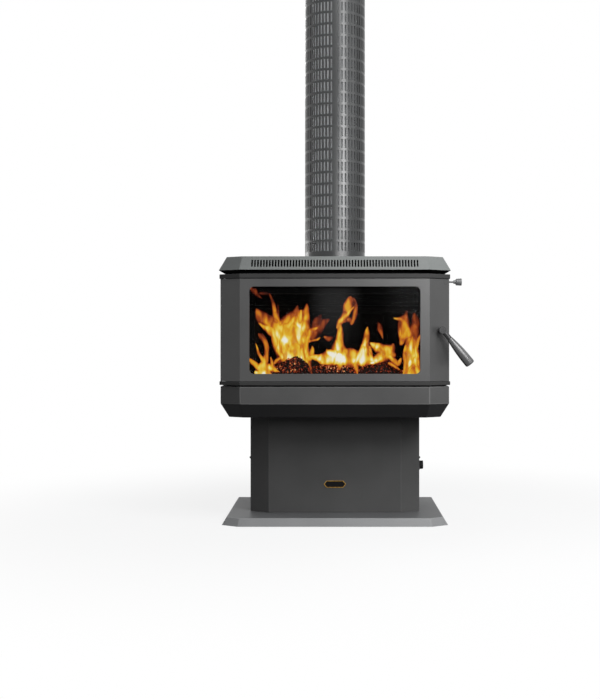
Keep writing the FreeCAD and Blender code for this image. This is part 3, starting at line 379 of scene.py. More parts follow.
def sealFibre(look):
    material, tree, shader = startFinish("sealFibre")
    coords = objectCoords(tree)
    strands = cloud(tree, coords, *look["strands"])
    stained = spread(tree, cloud(tree, coords, *look["stainClouds"]), look["stainRange"], look["stainShare"])
    pale = twoTone(tree, strands, cloudRange, *look["pale"])
    setNode(tree, shader, {
        "Base Color": blendColour(tree, stained, pale, look["stain"]),
        "Roughness": look["rough"],
        "Sheen Weight": look["sheen"],
        "Normal": bump(tree, strands, look["depth"]),
    })
    return material


paneLook = {
    "alpha": 0.10,
    "shine": 0.1,
    "rough": (0.04, 0.10),
    "smears": {"stretch": (5, 5, 1.4), "clouds": (3.0, 3.0)},
    "clear": tone(10, 10, 10),
    "reflectionPatch": tone(86, 86, 86),     # painted reflection: a faint pale patch up the middle
    "middle": 0.0,
    "wide": (0.025, 0.085),
    "rises": (0.56, 0.68),
}


def clearPane(look):
    material, tree, shader = startFinish("clearPane")
    place = addNode(tree, "ShaderNodeSeparateXYZ", {0: objectCoords(tree)}).outputs
    aside = math2(tree, "ABSOLUTE", math2(tree, "SUBTRACT", place[0], look["middle"]))
    # painted reflection: a pale patch up the middle of the pane
    reflectionPatch = math2(tree, "MULTIPLY", spread(tree, aside, look["wide"], (1.0, 0.0)),
                 spread(tree, place[2], look["rises"], (0.0, 1.0)))
    smears = cloud(tree, objectCoords(tree, look["smears"]["stretch"]), *look["smears"]["clouds"])
    setNode(tree, shader, {
        "Base Color": twoTone(tree, reflectionPatch, (0.0, 1.0), look["clear"], look["reflectionPatch"]),
        "Roughness": spread(tree, smears, cloudRange, look["rough"]),
        "IOR": 1.5,
        "Specular IOR Level": look["shine"],
        "Alpha": look["alpha"],
    })
    return material


paints = {name: satinPaint(name) for name in paintLook}
# lighter copies of the paints for the fold bevels: painted highlight
edges = {name: satinPaint(name, "Edge", highlightLift) for name, highlightLift in coatLook["foldHighlightLift"].items()}
steels = {name: brushedSteel(name) for name in steelLook}
soot, screws, plastic, brassRim, enamel = [grainedFinish(name) for name in grainLook]
clay, fibre, pane = fireClay(clayLook), sealFibre(fibreLook), clearPane(paneLook)
print("finishes made:", len(bpy.data.materials))


# Folded sheet metal: the sharp CAD edges get their bend and cut radii

foldLook = {
    "foldRadius": 2.4 * mm,       # where two broad faces meet
    "cutRadius": 0.35 * mm,       # along the sheet's own edge
    "broad": 5.0 * mm,            # a face narrower than this is a sheet's edge
    "flatWithin": 0.5,            # degrees between triangles of one face
    "leastAngle": 20.0,           # degrees, for an edge that is rounded
    "flatArea": 60 * mm * mm,     # a larger face is shaded flat
    "segments": 3,
    "facesDown": -0.3,            # the hood's faces turned further down than this are painted black as shade
    "facesAside": 0.9,            # and so are narrow ones turned further aside
    "panels": {
        "base_plate": "base", "pedestal_shell": "casing", "pedestal_rear_panel": "casing",
        "lower_casing": "casing", "side_panel_left": "casing", "side_panel_right": "casing",
        "rear_panel": "casing", "canopy": "canopy", "door_frame": "door",
    },
    "turned": {                   # painted shade: faces turned this way by their normal's height take a darker copy of the paint
        "lower_casing": {"finish": "under", "height": (-1.0, -0.3)},
        "base_plate": {"finish": "shadedPlinth", "height": (0.95, 1.0)},
    },
}


def breadth(face):
    return 2 * face.calc_area() / face.calc_perimeter()


def shadeInside(bm, look):
    # painted shade: the hood is black within, below and in its slots
    middle = sum((vert.co for vert in bm.verts), Vector()) / len(bm.verts)
    for face in bm.faces:
        outward = face.normal.dot(face.calc_center_median() - middle)
        slotSide = abs(face.normal.x) > look["facesAside"] and breadth(face) < look["broad"]
        if outward < 0 or slotSide or face.normal.z < look["facesDown"]:
            face.material_index = 2


def flattened(mesh, area):
    normals = [corner.vector.copy() for corner in mesh.corner_normals]
    for face in mesh.polygons:
        if face.area > area:
            for loop in face.loop_indices:
                normals[loop] = face.normal.copy()
    mesh.normals_split_custom_set(normals)


# painted shade: faces turned the given way take the darker copy in slot 2
def markTurned(faces, other):
    for face in faces:
        if other["height"][0] <= face.normal.z <= other["height"][1]:
            face.material_index = 2


def folded(node, look):
    bm = bmesh.new()
    bm.from_mesh(cadNodes[node].data)
    bmesh.ops.remove_doubles(bm, verts=bm.verts, dist=mergeWithin)
    bmesh.ops.dissolve_limit(bm, angle_limit=math.radians(look["flatWithin"]),
                             verts=bm.verts, edges=bm.edges)
    weights = bm.edges.layers.float.new("bevel_weight_edge")
    for edge in bm.edges:
        if len(edge.link_faces) == 2 and edge.calc_face_angle_signed(0) > math.radians(look["leastAngle"]):
            narrow = min(breadth(face) for face in edge.link_faces) < look["broad"]
            edge[weights] = look["cutRadius"] / look["foldRadius"] if narrow else 1.0
    if node == "canopy":
        shadeInside(bm, look)
    paint, other = look["panels"][node], look["turned"].get(node)
    # slot 1 is the lighter fold copy (painted highlight); slot 2 is the darker copy for turned faces, or
    # black for the hood (painted shade)
    finishes = [paints[paint], edges[paint], paints[other["finish"]] if other else soot]
    piece = pieceFrom(node + "_folded", meshFrom(bm, node + "_folded"), finishes)
    bevel = piece.modifiers.new("bend", "BEVEL")
    bevel.limit_method = "WEIGHT"
    bevel.width = look["foldRadius"]
    bevel.segments = look["segments"]
    bevel.use_clamp_overlap = True
    bevel.harden_normals = True
    # the bevels take slot 1, the lighter copy: painted highlight along the folds
    bevel.material = 1
    flattened(frozen(piece).data, look["flatArea"])
    if other:
        markTurned(piece.data.polygons, other)
    standsFor(piece, node)


for panel in foldLook["panels"]:
    folded(panel, foldLook)
print("sheet metal folded:", len(foldLook["panels"]), "panels")


# Screws: one socket-head shape set on each screw's place, facing out

screwLook = {
    "around": 24,
    "ease": 0.1 * mm,
    "tip": 0.8,                   # of the shank's radius
    "domeSteps": 7,
    "foot": 0.97,                 # of the head's radius, where it meets the sheet
    "crown": 0.56,                # flat top, of the head's radius
    "brim": 0.12,                 # upright edge, of the head's height
    "socket": 0.5,                # of the head's radius, to the corners of the hexagon
    "socketRim": 1.02,            # of the socket's radius
    "deep": 0.6,                  # of the head's height
    "nodes": {                    # those on the pedestal's sides face outwards, the others backwards
        "pedestal_rear_screws": {"axis": 1, "head": 2.6 * mm, "headRadius": 4.5 * mm, "shank": 2.0 * mm},
        "rear_panel_screws": {"axis": 1, "head": 2.6 * mm, "headRadius": 4.5 * mm, "shank": 2.0 * mm},
        "pedestal_side_screws": {"axis": 0, "head": 4.5 * mm, "headRadius": 3.6 * mm, "shank": 2.4 * mm},
        "retainer_screws": {"axis": 1, "head": 2.0 * mm, "headRadius": 3.4 * mm, "shank": 2.0 * mm},
    },
}


def looseBoxes(mesh):
    bm = bmesh.new()
    bm.from_mesh(mesh)
    bmesh.ops.remove_doubles(bm, verts=bm.verts, dist=mergeWithin)
    boxes, seen = [], set()
    for first in bm.verts:
        if first in seen:
            continue
        seen.add(first)
        waiting, spots = [first], []
        while waiting:
            vert = waiting.pop()
            spots.append(vert.co.copy())
            fresh = {edge.other_vert(vert) for edge in vert.link_edges} - seen
            seen |= fresh
            waiting += fresh
        ends = [[pick(spot[axis] for spot in spots) for axis in range(3)] for pick in (min, max)]
        boxes.append([Vector(end) for end in ends])
    bm.free()
    return boxes


def skinned(bm, rows, flip=1):
    # walls from ring to ring of corners, and a face on the first and the last
    for low, high in zip(rows, rows[1:]):
        for turn in range(len(low)):
            after = (turn + 1) % len(low)
            bm.faces.new((low[turn], low[after], high[after], high[turn])[::flip])
    bm.faces.new(rows[0][::-flip])
    return bm.faces.new(rows[-1][::flip])


def easedEdges(bm, edges, offset):
    bmesh.ops.bevel(bm, geom=edges, offset=offset, segments=2, affect="EDGES", profile=0.5)


def lathe(bm, profile, around, corners=()):
    # each profile row is (radius, height); the rows in corners are turned as hexagons
    rows = []
    for index, (radius, height) in enumerate(profile):
        row = []
        for turn in range(around):
            angle = 2 * math.pi * turn / around
            reach = radius
            if index in corners:
                reach *= math.cos(math.pi / 6) / math.cos((angle % (math.pi / 3)) - math.pi / 6)
            row.append(bm.verts.new((reach * math.cos(angle), reach * math.sin(angle), height)))
        rows.append(row)
    skinned(bm, rows)


def screwShape(look, size, length):
    top, wide, shank = size["head"], size["headRadius"], size["shank"]
    crown, brim, steps, ease = [look[name] for name in ("crown", "brim", "domeSteps", "ease")]
    socket = wide * look["socket"]
    profile = [(shank * look["tip"], -length), (shank, 4 * ease - length), (shank, 0.0),
               (wide * look["foot"], 0.0), (wide, brim * top)]
    for step in range(1, steps):
        angle = step / steps * math.pi / 2
        profile.append((wide * (crown + (1 - crown) * math.cos(angle)),
                        top * (brim + (1 - brim) * math.sin(angle))))
    profile += [(wide * crown, top), (socket * look["socketRim"], top), (socket, top - ease),
                (socket, top * (1 - look["deep"]))]
    bm = bmesh.new()
    lathe(bm, profile, look["around"], range(len(profile) - 3, len(profile)))
    return meshFrom(bm, "screw", False)


def screwTree():
    tree, given = startTree("facingCopies", {"Shape": "Object", "Material": "Material"})
    facing = nodeOut(tree, "GeometryNodeInputNamedAttribute", {
        "data_type": "FLOAT_VECTOR", "Name": "facing"})
    turn = nodeOut(tree, "FunctionNodeAlignRotationToVector", {"axis": "Z", "Vector": facing})
    shape = nodeOut(tree, "GeometryNodeObjectInfo", {"Object": given["Shape"]}, "Geometry")
    copies = nodeOut(tree, "GeometryNodeInstanceOnPoints", {
        "Points": given["Geometry"], "Instance": shape, "Rotation": turn})
    return endTree(tree, copies, given)


def makeScrews(look):
    tree = screwTree()
    for node, size in look["nodes"].items():
        points, facings, length = [], [], 0.0
        for low, high in looseBoxes(cadNodes[node].data):
            middle = (low + high) / 2
            facing = Vector((0, 1, 0)) if size["axis"] else Vector((math.copysign(1, middle.x), 0, 0))
            reach = (high - low)[size["axis"]]
            points.append(middle + facing * (reach / 2 - size["head"]))
            facings.append(facing)
            length = reach - size["head"]
        mesh = bpy.data.meshes.new(node + "_points")
        mesh.from_pydata(points, [], [])
        facingLayer = mesh.attributes.new("facing", "FLOAT_VECTOR", "POINT").data
        facingLayer.foreach_set("vector", [part for facing in facings for part in facing])
        shape = pieceFrom(node + "_shape", screwShape(look, size, length), [])
        piece = grown(node + "_heads", tree, mesh, screws, {"Shape": shape})
        bpy.data.objects.remove(shape)
        standsFor(piece, node)
    print("screws set:", len(look["nodes"]), "groups")


makeScrews(screwLook)


# Badge: a blank enamelled plaque in a raised brass rim

badgeLook = {
    "half": (36 * mm, 11 * mm),
    "slope": 9 * mm,              # length of the pointed ends
    "endInset": 1.25,             # the rim is this much wider at the points
    "back": -124.5 * mm,
    "front": -127.0 * mm,
    "middle": 118 * mm,
    "rim": 1.5 * mm,
    "sunk": 0.6 * mm,
    "ease": 0.3 * mm,
}


def makeBadge(look):
    def outline(inset, depth):
        wide, high = look["half"][0] - look["endInset"] * inset, look["half"][1] - inset
        flat = wide - look["slope"] * high / look["half"][1]
        shape = [(-flat, -high), (flat, -high), (wide, 0), (flat, high), (-flat, high), (-wide, 0)]
        return [bm.verts.new((x, depth, look["middle"] + z)) for x, z in shape]
    bm = bmesh.new()
    front, ease, rim = look["front"], look["ease"], look["rim"]
    rows = [outline(0, look["back"]), outline(0, front + ease), outline(ease, front),
            outline(rim - ease, front), outline(rim, front + ease), outline(rim, front + look["sunk"])]
    skinned(bm, rows).material_index = 1
    standsFor(pieceFrom("badge", meshFrom(bm, "badge", False), [brassRim, enamel]), "badge_plate")


makeBadge(badgeLook)


# Fan knob: a turned skirt and a ribbed grip with a raised pointer

knobLook = {
    "start": 278.5 * mm,
    "end": 295.0 * mm,
    "axis": (-22.5 * mm, 169 * mm),
    "around": 48,
    "bore": 3.0 * mm,
    "skirt": 18 * mm,
    "skirtDepth": 6 * mm,
    "skirtUpright": 0.45,         # of its depth
    "skirtSlope": (0.86, 0.8),    # of its radius, where it slopes in to the grip
    "grip": 12.7 * mm,
    "ease": 0.8 * mm,
    "dish": (0.4, 0.3 * mm),      # of the grip's radius, and how deep
    "ribs": {"count": 18, "around": 8, "radius": 1.0 * mm, "ends": (0.6, 0.4), "sunk": 0.25 * mm,
             "short": 2.2 * mm},
    "pointer": {"wide": 4.6 * mm, "reach": 14.8 * mm, "sunk": 1.0 * mm, "ease": 0.5 * mm},
}


def ribTree():
    tree, given = startTree("gripRibs", {
        "Count": "Int", "Radius": "Float", "Place": "Vector", "Rib": "Object", "Material": "Material"})
    circle = nodeOut(tree, "GeometryNodeMeshCircle", {"Vertices": given["Count"], "Radius": given["Radius"]})
    upright = nodeOut(tree, "GeometryNodeTransform", {"Geometry": circle, "Translation": given["Place"],
                                                      "Rotation": (0, math.pi / 2, 0)})
    rib = nodeOut(tree, "GeometryNodeObjectInfo", {"Object": given["Rib"]}, "Geometry")
    ribs = nodeOut(tree, "GeometryNodeInstanceOnPoints", {
        "Points": upright, "Instance": rib, "Rotation": (0, math.pi / 2, 0)})
    return endTree(tree, joinedTo(tree, ribs, given["Geometry"]), given)


def sideways(bm, look):
    onSide = Matrix.Translation((0, *look["axis"])) @ Matrix.Rotation(math.pi / 2, 4, "Y")
    bmesh.ops.transform(bm, matrix=onSide, verts=bm.verts)


def addPointer(bm, look):
    bar = look["pointer"]
    low, high = look["grip"] / 2, bar["reach"]
    length = look["end"] - look["start"] - look["skirtDepth"] + bar["sunk"]
    middle = (look["end"] - length / 2, look["axis"][0], look["axis"][1] + (low + high) / 2)
    block = bmesh.ops.create_cube(bm, size=1.0, matrix=Matrix.Translation(middle)
                                  @ Matrix.Diagonal((length, bar["wide"], high - low, 1.0)))["verts"]
    rims = list(dict.fromkeys(edge for vert in block for edge in vert.link_edges))
    easedEdges(bm, rims, bar["ease"])


def makeFanKnob(look):
    start, end, ease, skirt, grip = [look[name] for name in ("start", "end", "ease", "skirt", "grip")]
    foot, rib = start + look["skirtDepth"], look["ribs"]
    bm = bmesh.new()
    lathe(bm, [(look["bore"], start), (skirt - ease, start), (skirt, start + ease),
               (skirt, start + look["skirtUpright"] * look["skirtDepth"]),
               (skirt * look["skirtSlope"][0], foot - ease), (skirt * look["skirtSlope"][1], foot),
               (grip, foot), (grip, end - 2 * ease),   # and then the rounded rim
               (grip - 0.5 * ease, end - 0.6 * ease), (grip - 1.4 * ease, end),
               (grip * look["dish"][0], end - look["dish"][1])], look["around"])
    sideways(bm, look)
    addPointer(bm, look)
    body = meshFrom(bm, "fanKnob", False)
    bm = bmesh.new()
    radius, length = rib["radius"], end - foot - rib["short"]
    lathe(bm, [(radius * rib["ends"][0], 0), (radius, ease / 2), (radius, length - ease),
               (radius * rib["ends"][1], length)], rib["around"])
    shape = pieceFrom("knobRib", meshFrom(bm, "knobRib", False), [])
    piece = grown("fanKnob", ribTree(), body, plastic, {
        "Count": rib["count"], "Radius": grip - rib["sunk"], "Place": (foot, *look["axis"]), "Rib": shape})
    bpy.data.objects.remove(shape)
    standsFor(piece, "fan_knob")


makeFanKnob(knobLook)
print("badge and fan knob made")


# Door rope: three strands laid round each other along a rounded rectangle

ropeLook = {
    "half": 288.8 * mm,
    "low": 469.8 * mm,
    "high": 767.4 * mm,
    "depth": -284.2 * mm,
    "corner": 14 * mm,
    "cornerSteps": 6,
    "thick": 10 * mm,
    "strands": 3,
    "strandReach": 0.23,          # from the rope's middle to a strand's, of its thickness
    "strandRadius": 0.265,        # of its thickness
    "strandSides": 8,
    "twists": 64,
    "spacing": 2.8 * mm,
}


def ropeTree(look):
    tree, given = startTree("laidRope", {
        "Width": "Float", "Height": "Float", "Place": "Vector", "Corner": "Float", "Thickness": "Float",
        "Strands": "Int", "Twists": "Int", "Spacing": "Float", "Material": "Material"})
    path = nodeOut(tree, "GeometryNodeCurvePrimitiveQuadrilateral", {
        "Width": given["Width"], "Height": given["Height"]})
    rounded = nodeOut(tree, "GeometryNodeFilletCurve", {
        "mode": "POLY", "Curve": path, "Count": look["cornerSteps"], "Radius": given["Corner"]})
    upright = nodeOut(tree, "GeometryNodeTransform", {
        "Geometry": rounded, "Translation": given["Place"], "Rotation": (math.pi / 2, 0, 0)})
    spaced = nodeOut(tree, "GeometryNodeResampleCurve", {
        "mode": "LENGTH", "Curve": upright, "Length": given["Spacing"]})
    copies = addNode(tree, "GeometryNodeDuplicateElements", {
        "domain": "SPLINE", "Geometry": spaced, "Amount": given["Strands"]})
    start = math2(tree, "DIVIDE", copies.outputs["Duplicate Index"], given["Strands"])
    along = nodeOut(tree, "GeometryNodeSplineParameter", {}, "Factor")
    turns = math2(tree, "ADD", math2(tree, "MULTIPLY", along, given["Twists"]), start)
    angle = math2(tree, "MULTIPLY", turns, 2 * math.pi)
    normal = nodeOut(tree, "GeometryNodeInputNormal", {})
    binormal = vector2(tree, "CROSS_PRODUCT", nodeOut(tree, "GeometryNodeInputTangent", {}), normal)
    out = vector2(tree, "SCALE", normal, math2(tree, "COSINE", angle))
    over = vector2(tree, "SCALE", binormal, math2(tree, "SINE", angle))
    reach = math2(tree, "MULTIPLY", given["Thickness"], look["strandReach"])
    shift = vector2(tree, "SCALE", vector2(tree, "ADD", out, over), reach)
    laid = nodeOut(tree, "GeometryNodeSetPosition", {
        "Geometry": copies.outputs["Geometry"], "Offset": shift})
    radius = math2(tree, "MULTIPLY", given["Thickness"], look["strandRadius"])
    ring = nodeOut(tree, "GeometryNodeCurvePrimitiveCircle", {
        "Resolution": look["strandSides"], "Radius": radius})
    tube = nodeOut(tree, "GeometryNodeCurveToMesh", {"Curve": laid, "Profile Curve": ring})
    return endTree(tree, nodeOut(tree, "GeometryNodeSetShadeSmooth", {"Geometry": tube}), given)


def makeRope(look):
    piece = grown("doorRope", ropeTree(look), bpy.data.meshes.new("doorRope"), fibre, {
        "Width": 2 * look["half"], "Height": look["high"] - look["low"], "Corner": look["corner"],
        "Place": (0.0, look["depth"], (look["low"] + look["high"]) / 2), "Thickness": look["thick"],
        "Strands": look["strands"], "Twists": look["twists"], "Spacing": look["spacing"]})
    standsFor(piece, "door_rope_seal")
    print("rope laid:", len(piece.data.polygons), "faces")


makeRope(ropeLook)


# Fire bricks: rows of eased bricks with open joints in place of each lining slab

brickLook = {
    "brick": 112 * mm,
    "course": 103 * mm,
    "joint": 1.2 * mm,
    "ease": 1.6 * mm,
    "walls": {                    # the axis along which each is thin
        "firebrick_floor": 2, "firebrick_left": 0, "firebrick_right": 0, "firebrick_rear": 1},
}


def brickTree():
    tree, given = startTree("brickRows", {
        "Columns": "Int", "Rows": "Int", "Size": "Vector", "Place": "Vector", "Turn": "Vector",
        "Material": "Material"})
    size = addNode(tree, "ShaderNodeSeparateXYZ", {0: given["Size"]}).outputs
    grid = nodeOut(tree, "GeometryNodeMeshGrid", {
        "Size X": size[0], "Size Y": size[1], "Vertices X": given["Columns"], "Vertices Y": given["Rows"]})
    stood = nodeOut(tree, "GeometryNodeTransform", {"Geometry": grid, "Translation": given["Place"],
                                                    "Rotation": given["Turn"]})
    rows = nodeOut(tree, "GeometryNodeInstanceOnPoints", {"Points": stood, "Instance": given["Geometry"]})
    return endTree(tree, rows, given)


def makeBricks(look):
    tree = brickTree()
    turns = {0: (0.0, -math.pi / 2, 0.0), 1: (math.pi / 2, 0.0, 0.0), 2: (0.0, 0.0, 0.0)}
    planes = {0: (2, 1), 1: (0, 2), 2: (0, 1)}   # the axes that the grid's X and Y come to lie along
    for node, thin in look["walls"].items():
        low, high = looseBoxes(cadNodes[node].data)[0]
        span = high - low
        across, up = planes[thin]
        lengths = {axis: look["course" if axis == 2 else "brick"] for axis in (across, up)}
        counts = {axis: max(1, round(span[axis] / lengths[axis])) for axis in (across, up)}
        pitch = {axis: span[axis] / counts[axis] for axis in (across, up)}
        block = [span[axis] if axis == thin else pitch[axis] - look["joint"] for axis in range(3)]
        bm = bmesh.new()
        bmesh.ops.create_cube(bm, size=1.0)
        bmesh.ops.scale(bm, vec=block, verts=bm.verts)
        easedEdges(bm, list(bm.edges), look["ease"])
        piece = grown(node + "_bricks", tree, meshFrom(bm, "brick", False), clay, {
            "Columns": counts[across], "Rows": counts[up], "Place": (low + high) / 2, "Turn": turns[thin],
            "Size": (span[across] - pitch[across], span[up] - pitch[up], 0.0)})
        standsFor(piece, node)
    print("fire bricks laid:", len(look["walls"]), "walls")


makeBricks(brickLook)


# The photo's viewpoint

cameraLook = {
    "place": (0.007, -3.7975, 0.5945),
    "lens": 58.0,
    "sensor": 36.0,
    "shift": (-0.053, -0.0165),
}


# Fire: a heaped ember bed under coals, charred logs and the flames standing on them

emberLook = {
    "lump": 4.4 * mm,
    "lumpSides": (6, 4),
    "lumpSeed": 3,
    "swell": (1.1, 0.45),             # how fine and how strong a lump's unevenness is
    "apart": 5.0 * mm,
    "most": 90000.0,                  # coals to a square metre
    "seed": 7,
    "smallest": (0.5, 0.5, 0.45),
    "largest": (1.3, 1.1, 0.9),
    "anyTurn": (6.3, 6.3, 6.3),
    "level": 0.15,                    # coals lie where the bed's normal rises more than this
    "coalsTo": 20 * mm,               # and from the front to here
    "patches": {"clouds": (22.0, 2.0), "from": (0.36, 0.62), "to": (0.55, 1.35)},   # cooler and warmer parts
    "cells": (110, 80),
    "ridge": (-187 * mm, 27 * mm),    # the mounds' middle line and half depth
    "mounds": [                       # middle, half width and height of each
        (-131 * mm, 62 * mm, 46 * mm), (0 * mm, 96 * mm, 25 * mm), (138 * mm, 70 * mm, 27 * mm)],
    "rough": 5 * mm,
    "roughGrain": 12 * mm,
    "roughFlat": 0.4,                 # what is left of the roughness off the mounds
    "black": tone(13, 10, 9),
    "ash": tone(54, 41, 36),
    "crust": {"clouds": (260.0, 4.0), "ashRange": (0.35, 0.75), "glows": (0.42, 0.66), "share": (0.1, 1.0),
              "depth": 2.0 * mm},
    "glow": [(0.12, tone(0, 0, 0)), (0.3, tone(104, 26, 12)), (0.5, tone(198, 74, 30)),
             (0.75, tone(240, 138, 74)), (0.95, tone(255, 214, 150))],
}


def emberBed(look):
    low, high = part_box("ember_bed")
    columns, rows = look["cells"]
    middleY, deep = look["ridge"]
    bm = bmesh.new()
    grid = []
    for row in range(rows + 1):
        y = low[1] + (high[1] - low[1]) * row / rows
        ridge = max(0.0, 1 - ((y - middleY) / deep) ** 2)
        line = []
        for column in range(columns + 1):
            x = low[0] + (high[0] - low[0]) * column / columns
            heap = max(tall * max(0.0, 1 - ((x - middle) / half) ** 2)
                       for middle, half, tall in look["mounds"])
            lumps = look["rough"] * noise.noise(Vector((x, y, 0)) / look["roughGrain"])
            lumps *= look["roughFlat"] + ridge
            line.append(bm.verts.new((x, y, high[2] - look["rough"] / 2 + heap * ridge + lumps)))
        grid.append(line)
    for near, far in zip(grid, grid[1:]):
        for column in range(columns):
            bm.faces.new((near[column], near[column + 1], far[column + 1], far[column]))
    rim = [edge for edge in bm.edges if edge.is_boundary]
    skirt = bmesh.ops.extrude_edge_only(bm, edges=rim)["geom"]
    for part in skirt:
        if isinstance(part, bmesh.types.BMVert):
            part.co.z = low[2]
    bmesh.ops.contextual_create(bm, geom=[part for part in skirt if isinstance(part, bmesh.types.BMEdge)])
    bmesh.ops.recalc_face_normals(bm, faces=bm.faces)
    return meshFrom(bm, "emberBed", False)


def warmthOf(tree):
    return nodeOut(tree, "ShaderNodeAttribute", {"attribute_name": "warmth"}, "Fac")


def glowingCoal(look):
    material, tree, shader = startFinish("glowingCoal")
    crust = cloud(tree, objectCoords(tree), *look["crust"]["clouds"])
    shown = spread(tree, crust, look["crust"]["glows"], look["crust"]["share"])
    setNode(tree, shader, {
        "Base Color": twoTone(tree, crust, look["crust"]["ashRange"], look["black"], look["ash"]),
        "Roughness": 0.9,
        "Specular IOR Level": 0.1,
        "Emission Color": ramp(tree, math2(tree, "MULTIPLY", shown, warmthOf(tree)), look["glow"]),
        "Emission Strength": 1.0,
        "Normal": bump(tree, crust, look["crust"]["depth"]),
    })
    return material


def roughLump(look):
    size, (fine, strong), (around, rings) = look["lump"], look["swell"], look["lumpSides"]
    bm = bmesh.new()
    bmesh.ops.create_uvsphere(bm, u_segments=around, v_segments=rings, radius=size)
    for vert in bm.verts:
        swell = noise.noise(vert.co / size * fine + Vector((look["lumpSeed"], 0, 0)))
        vert.co *= 1 + strong * swell
    return meshFrom(bm, "lump", False)


def coalTree(look):
    tree, given = startTree("scatteredCoals", {
        "Coal": "Object", "Apart": "Float", "Back": "Float", "Seed": "Int", "Material": "Material"})
    place = nodeOut(tree, "GeometryNodeInputPosition", {})
    rise = nodeOut(tree, "ShaderNodeSeparateXYZ", {0: nodeOut(tree, "GeometryNodeInputNormal", {})}, 2)
    upward = math2(tree, "GREATER_THAN", rise, look["level"])
    forward = math2(tree, "LESS_THAN", nodeOut(tree, "ShaderNodeSeparateXYZ", {0: place}, 1), given["Back"])
    points = nodeOut(tree, "GeometryNodeDistributePointsOnFaces", {
        "distribute_method": "POISSON", "Mesh": given["Geometry"], "Distance Min": given["Apart"],
        "Selection": math2(tree, "MULTIPLY", upward, forward), "Density Max": look["most"],
        "Seed": given["Seed"]}, "Points")

    def random3(low, high):
        return nodeOut(tree, "FunctionNodeRandomValue", {
            "data_type": "FLOAT_VECTOR", 0: low, 1: high, "Seed": given["Seed"]})
    coal = nodeOut(tree, "GeometryNodeObjectInfo", {"Object": given["Coal"]}, "Geometry")
    coals = nodeOut(tree, "GeometryNodeInstanceOnPoints", {
        "Points": points, "Instance": coal, "Rotation": random3((0, 0, 0), look["anyTurn"]),
        "Scale": random3(look["smallest"], look["largest"])})
    chance = nodeOut(tree, "FunctionNodeRandomValue", {
        "data_type": "FLOAT", 2: 0.0, 3: 1.0, "Seed": given["Seed"]}, 1)
    patch = cloud(tree, place, *look["patches"]["clouds"])
    zone = spread(tree, patch, look["patches"]["from"], look["patches"]["to"])
    stored = nodeOut(tree, "GeometryNodeStoreNamedAttribute", {
        "data_type": "FLOAT", "domain": "INSTANCE", "Geometry": coals, "Name": "warmth",
        "Value": math2(tree, "MULTIPLY", chance, zone)})
    return endTree(tree, joinedTo(tree, stored, given["Geometry"]), given)


logLook = {
    "radius": 19 * mm,
    "lengthways": {"half": 0.1928, "depths": (-0.1359, -0.0599), "height": 0.5068, "seeds": (11, 18)},
    "across": {"half": 0.057, "sides": (-0.0964, 0.0964), "middle": -0.0979, "height": 0.5448,
               "seeds": (31, 36)},
    "around": 44,
    "along": (24, 90),                 # rings, at least and on the longest
    "crackScale": (9.0, 70.0, 70.0),   # long, narrow checks down the grain
    "crackFine": 1.7,
    "crackWidth": 0.16,
    "crackDepth": 3.0 * mm,
    "blocks": (55, 1.4),               # scale and width of the checks between blocks of char
    "lumps": (26, 0.07),               # scale and share of the radius
    "endRound": (0.5, 0.38),           # length and depth, of the radius
    "flakes": {"clouds": (240.0, 5.0), "share": (0.5, 1.1), "depth": 1.6 * mm},
    "zones": {"clouds": (16.0, 2.0), "from": (0.42, 0.62)},
    "char": [(0.3, tone(9, 8, 8)), (0.6, tone(26, 21, 19)), (0.8, tone(70, 56, 48))],
    "glow": [(0.05, tone(0, 0, 0)), (0.3, tone(92, 20, 8)), (0.6, tone(200, 72, 18)),
             (0.95, tone(252, 186, 74))],
}


def charredLog(bm, heatLayer, look, half, turned, place, seed):
    blockScale, blockWidth = look["blocks"]
    lumpScale, lumpShare = look["lumps"]
    endLong, endDeep = look["endRound"]
    least, most = look["along"]
    grain = look["crackScale"]
    rings = max(least, int(most * half / look["lengthways"]["half"]))
    rows = []
    for step in range(rings + 1):
        reach = -half + 2 * half * step / rings
        end = min(1.0, (half - abs(reach)) / (endLong * look["radius"]))
        row = []
        for turn in range(look["around"]):
            angle = 2 * math.pi * turn / look["around"]
            spot = Vector((reach, math.cos(angle) * look["radius"], math.sin(angle) * look["radius"]))
            checks = Vector((spot.x * grain[0] + seed, spot.y * grain[1], spot.z * grain[2]))
            crack = abs(noise.noise(checks * look["crackFine"]))
            block = abs(noise.noise(spot * blockScale + Vector((0, seed, 0))))
            lump = noise.noise(spot * lumpScale + Vector((seed, seed, 0)))
            deep = max(0.0, 1 - min(crack, block * blockWidth) / look["crackWidth"])
            radius = look["radius"] * (1 - lumpShare + lumpShare * lump)
            radius *= 1 - endDeep + endDeep * math.sqrt(end)
            radius -= look["crackDepth"] * deep
            local = Vector((reach, math.cos(angle) * radius, math.sin(angle) * radius))
            if turned:
                local = Vector((local.y, local.x, local.z))
            vert = bm.verts.new(local + Vector(place))
            vert[heatLayer] = deep
            row.append(vert)
        rows.append(row)
    skinned(bm, rows, -1 if turned else 1)


def charredWood(look):
    material, tree, shader = startFinish("charredWood")
    coords = objectCoords(tree)
    flake = cloud(tree, coords, *look["flakes"]["clouds"])
    zone = spread(tree, cloud(tree, coords, *look["zones"]["clouds"]), look["zones"]["from"], (0.0, 1.0))
    glow = math2(tree, "MULTIPLY", math2(tree, "MULTIPLY", warmthOf(tree), zone),
                 spread(tree, flake, cloudRange, look["flakes"]["share"]))
    setNode(tree, shader, {
        "Base Color": ramp(tree, flake, look["char"]),
        "Roughness": 0.85,
        "Specular IOR Level": 0.2,
        "Emission Color": ramp(tree, glow, look["glow"]),
        "Emission Strength": 1.0,
        "Normal": bump(tree, flake, look["flakes"]["depth"]),
    })
    return material


# The flames are one closed lens-shaped sheet in which strokes of heat melt together. A stroke has its depth
# at root and tip, its heat, and rows of photo px, py and half width from the root to the tip.

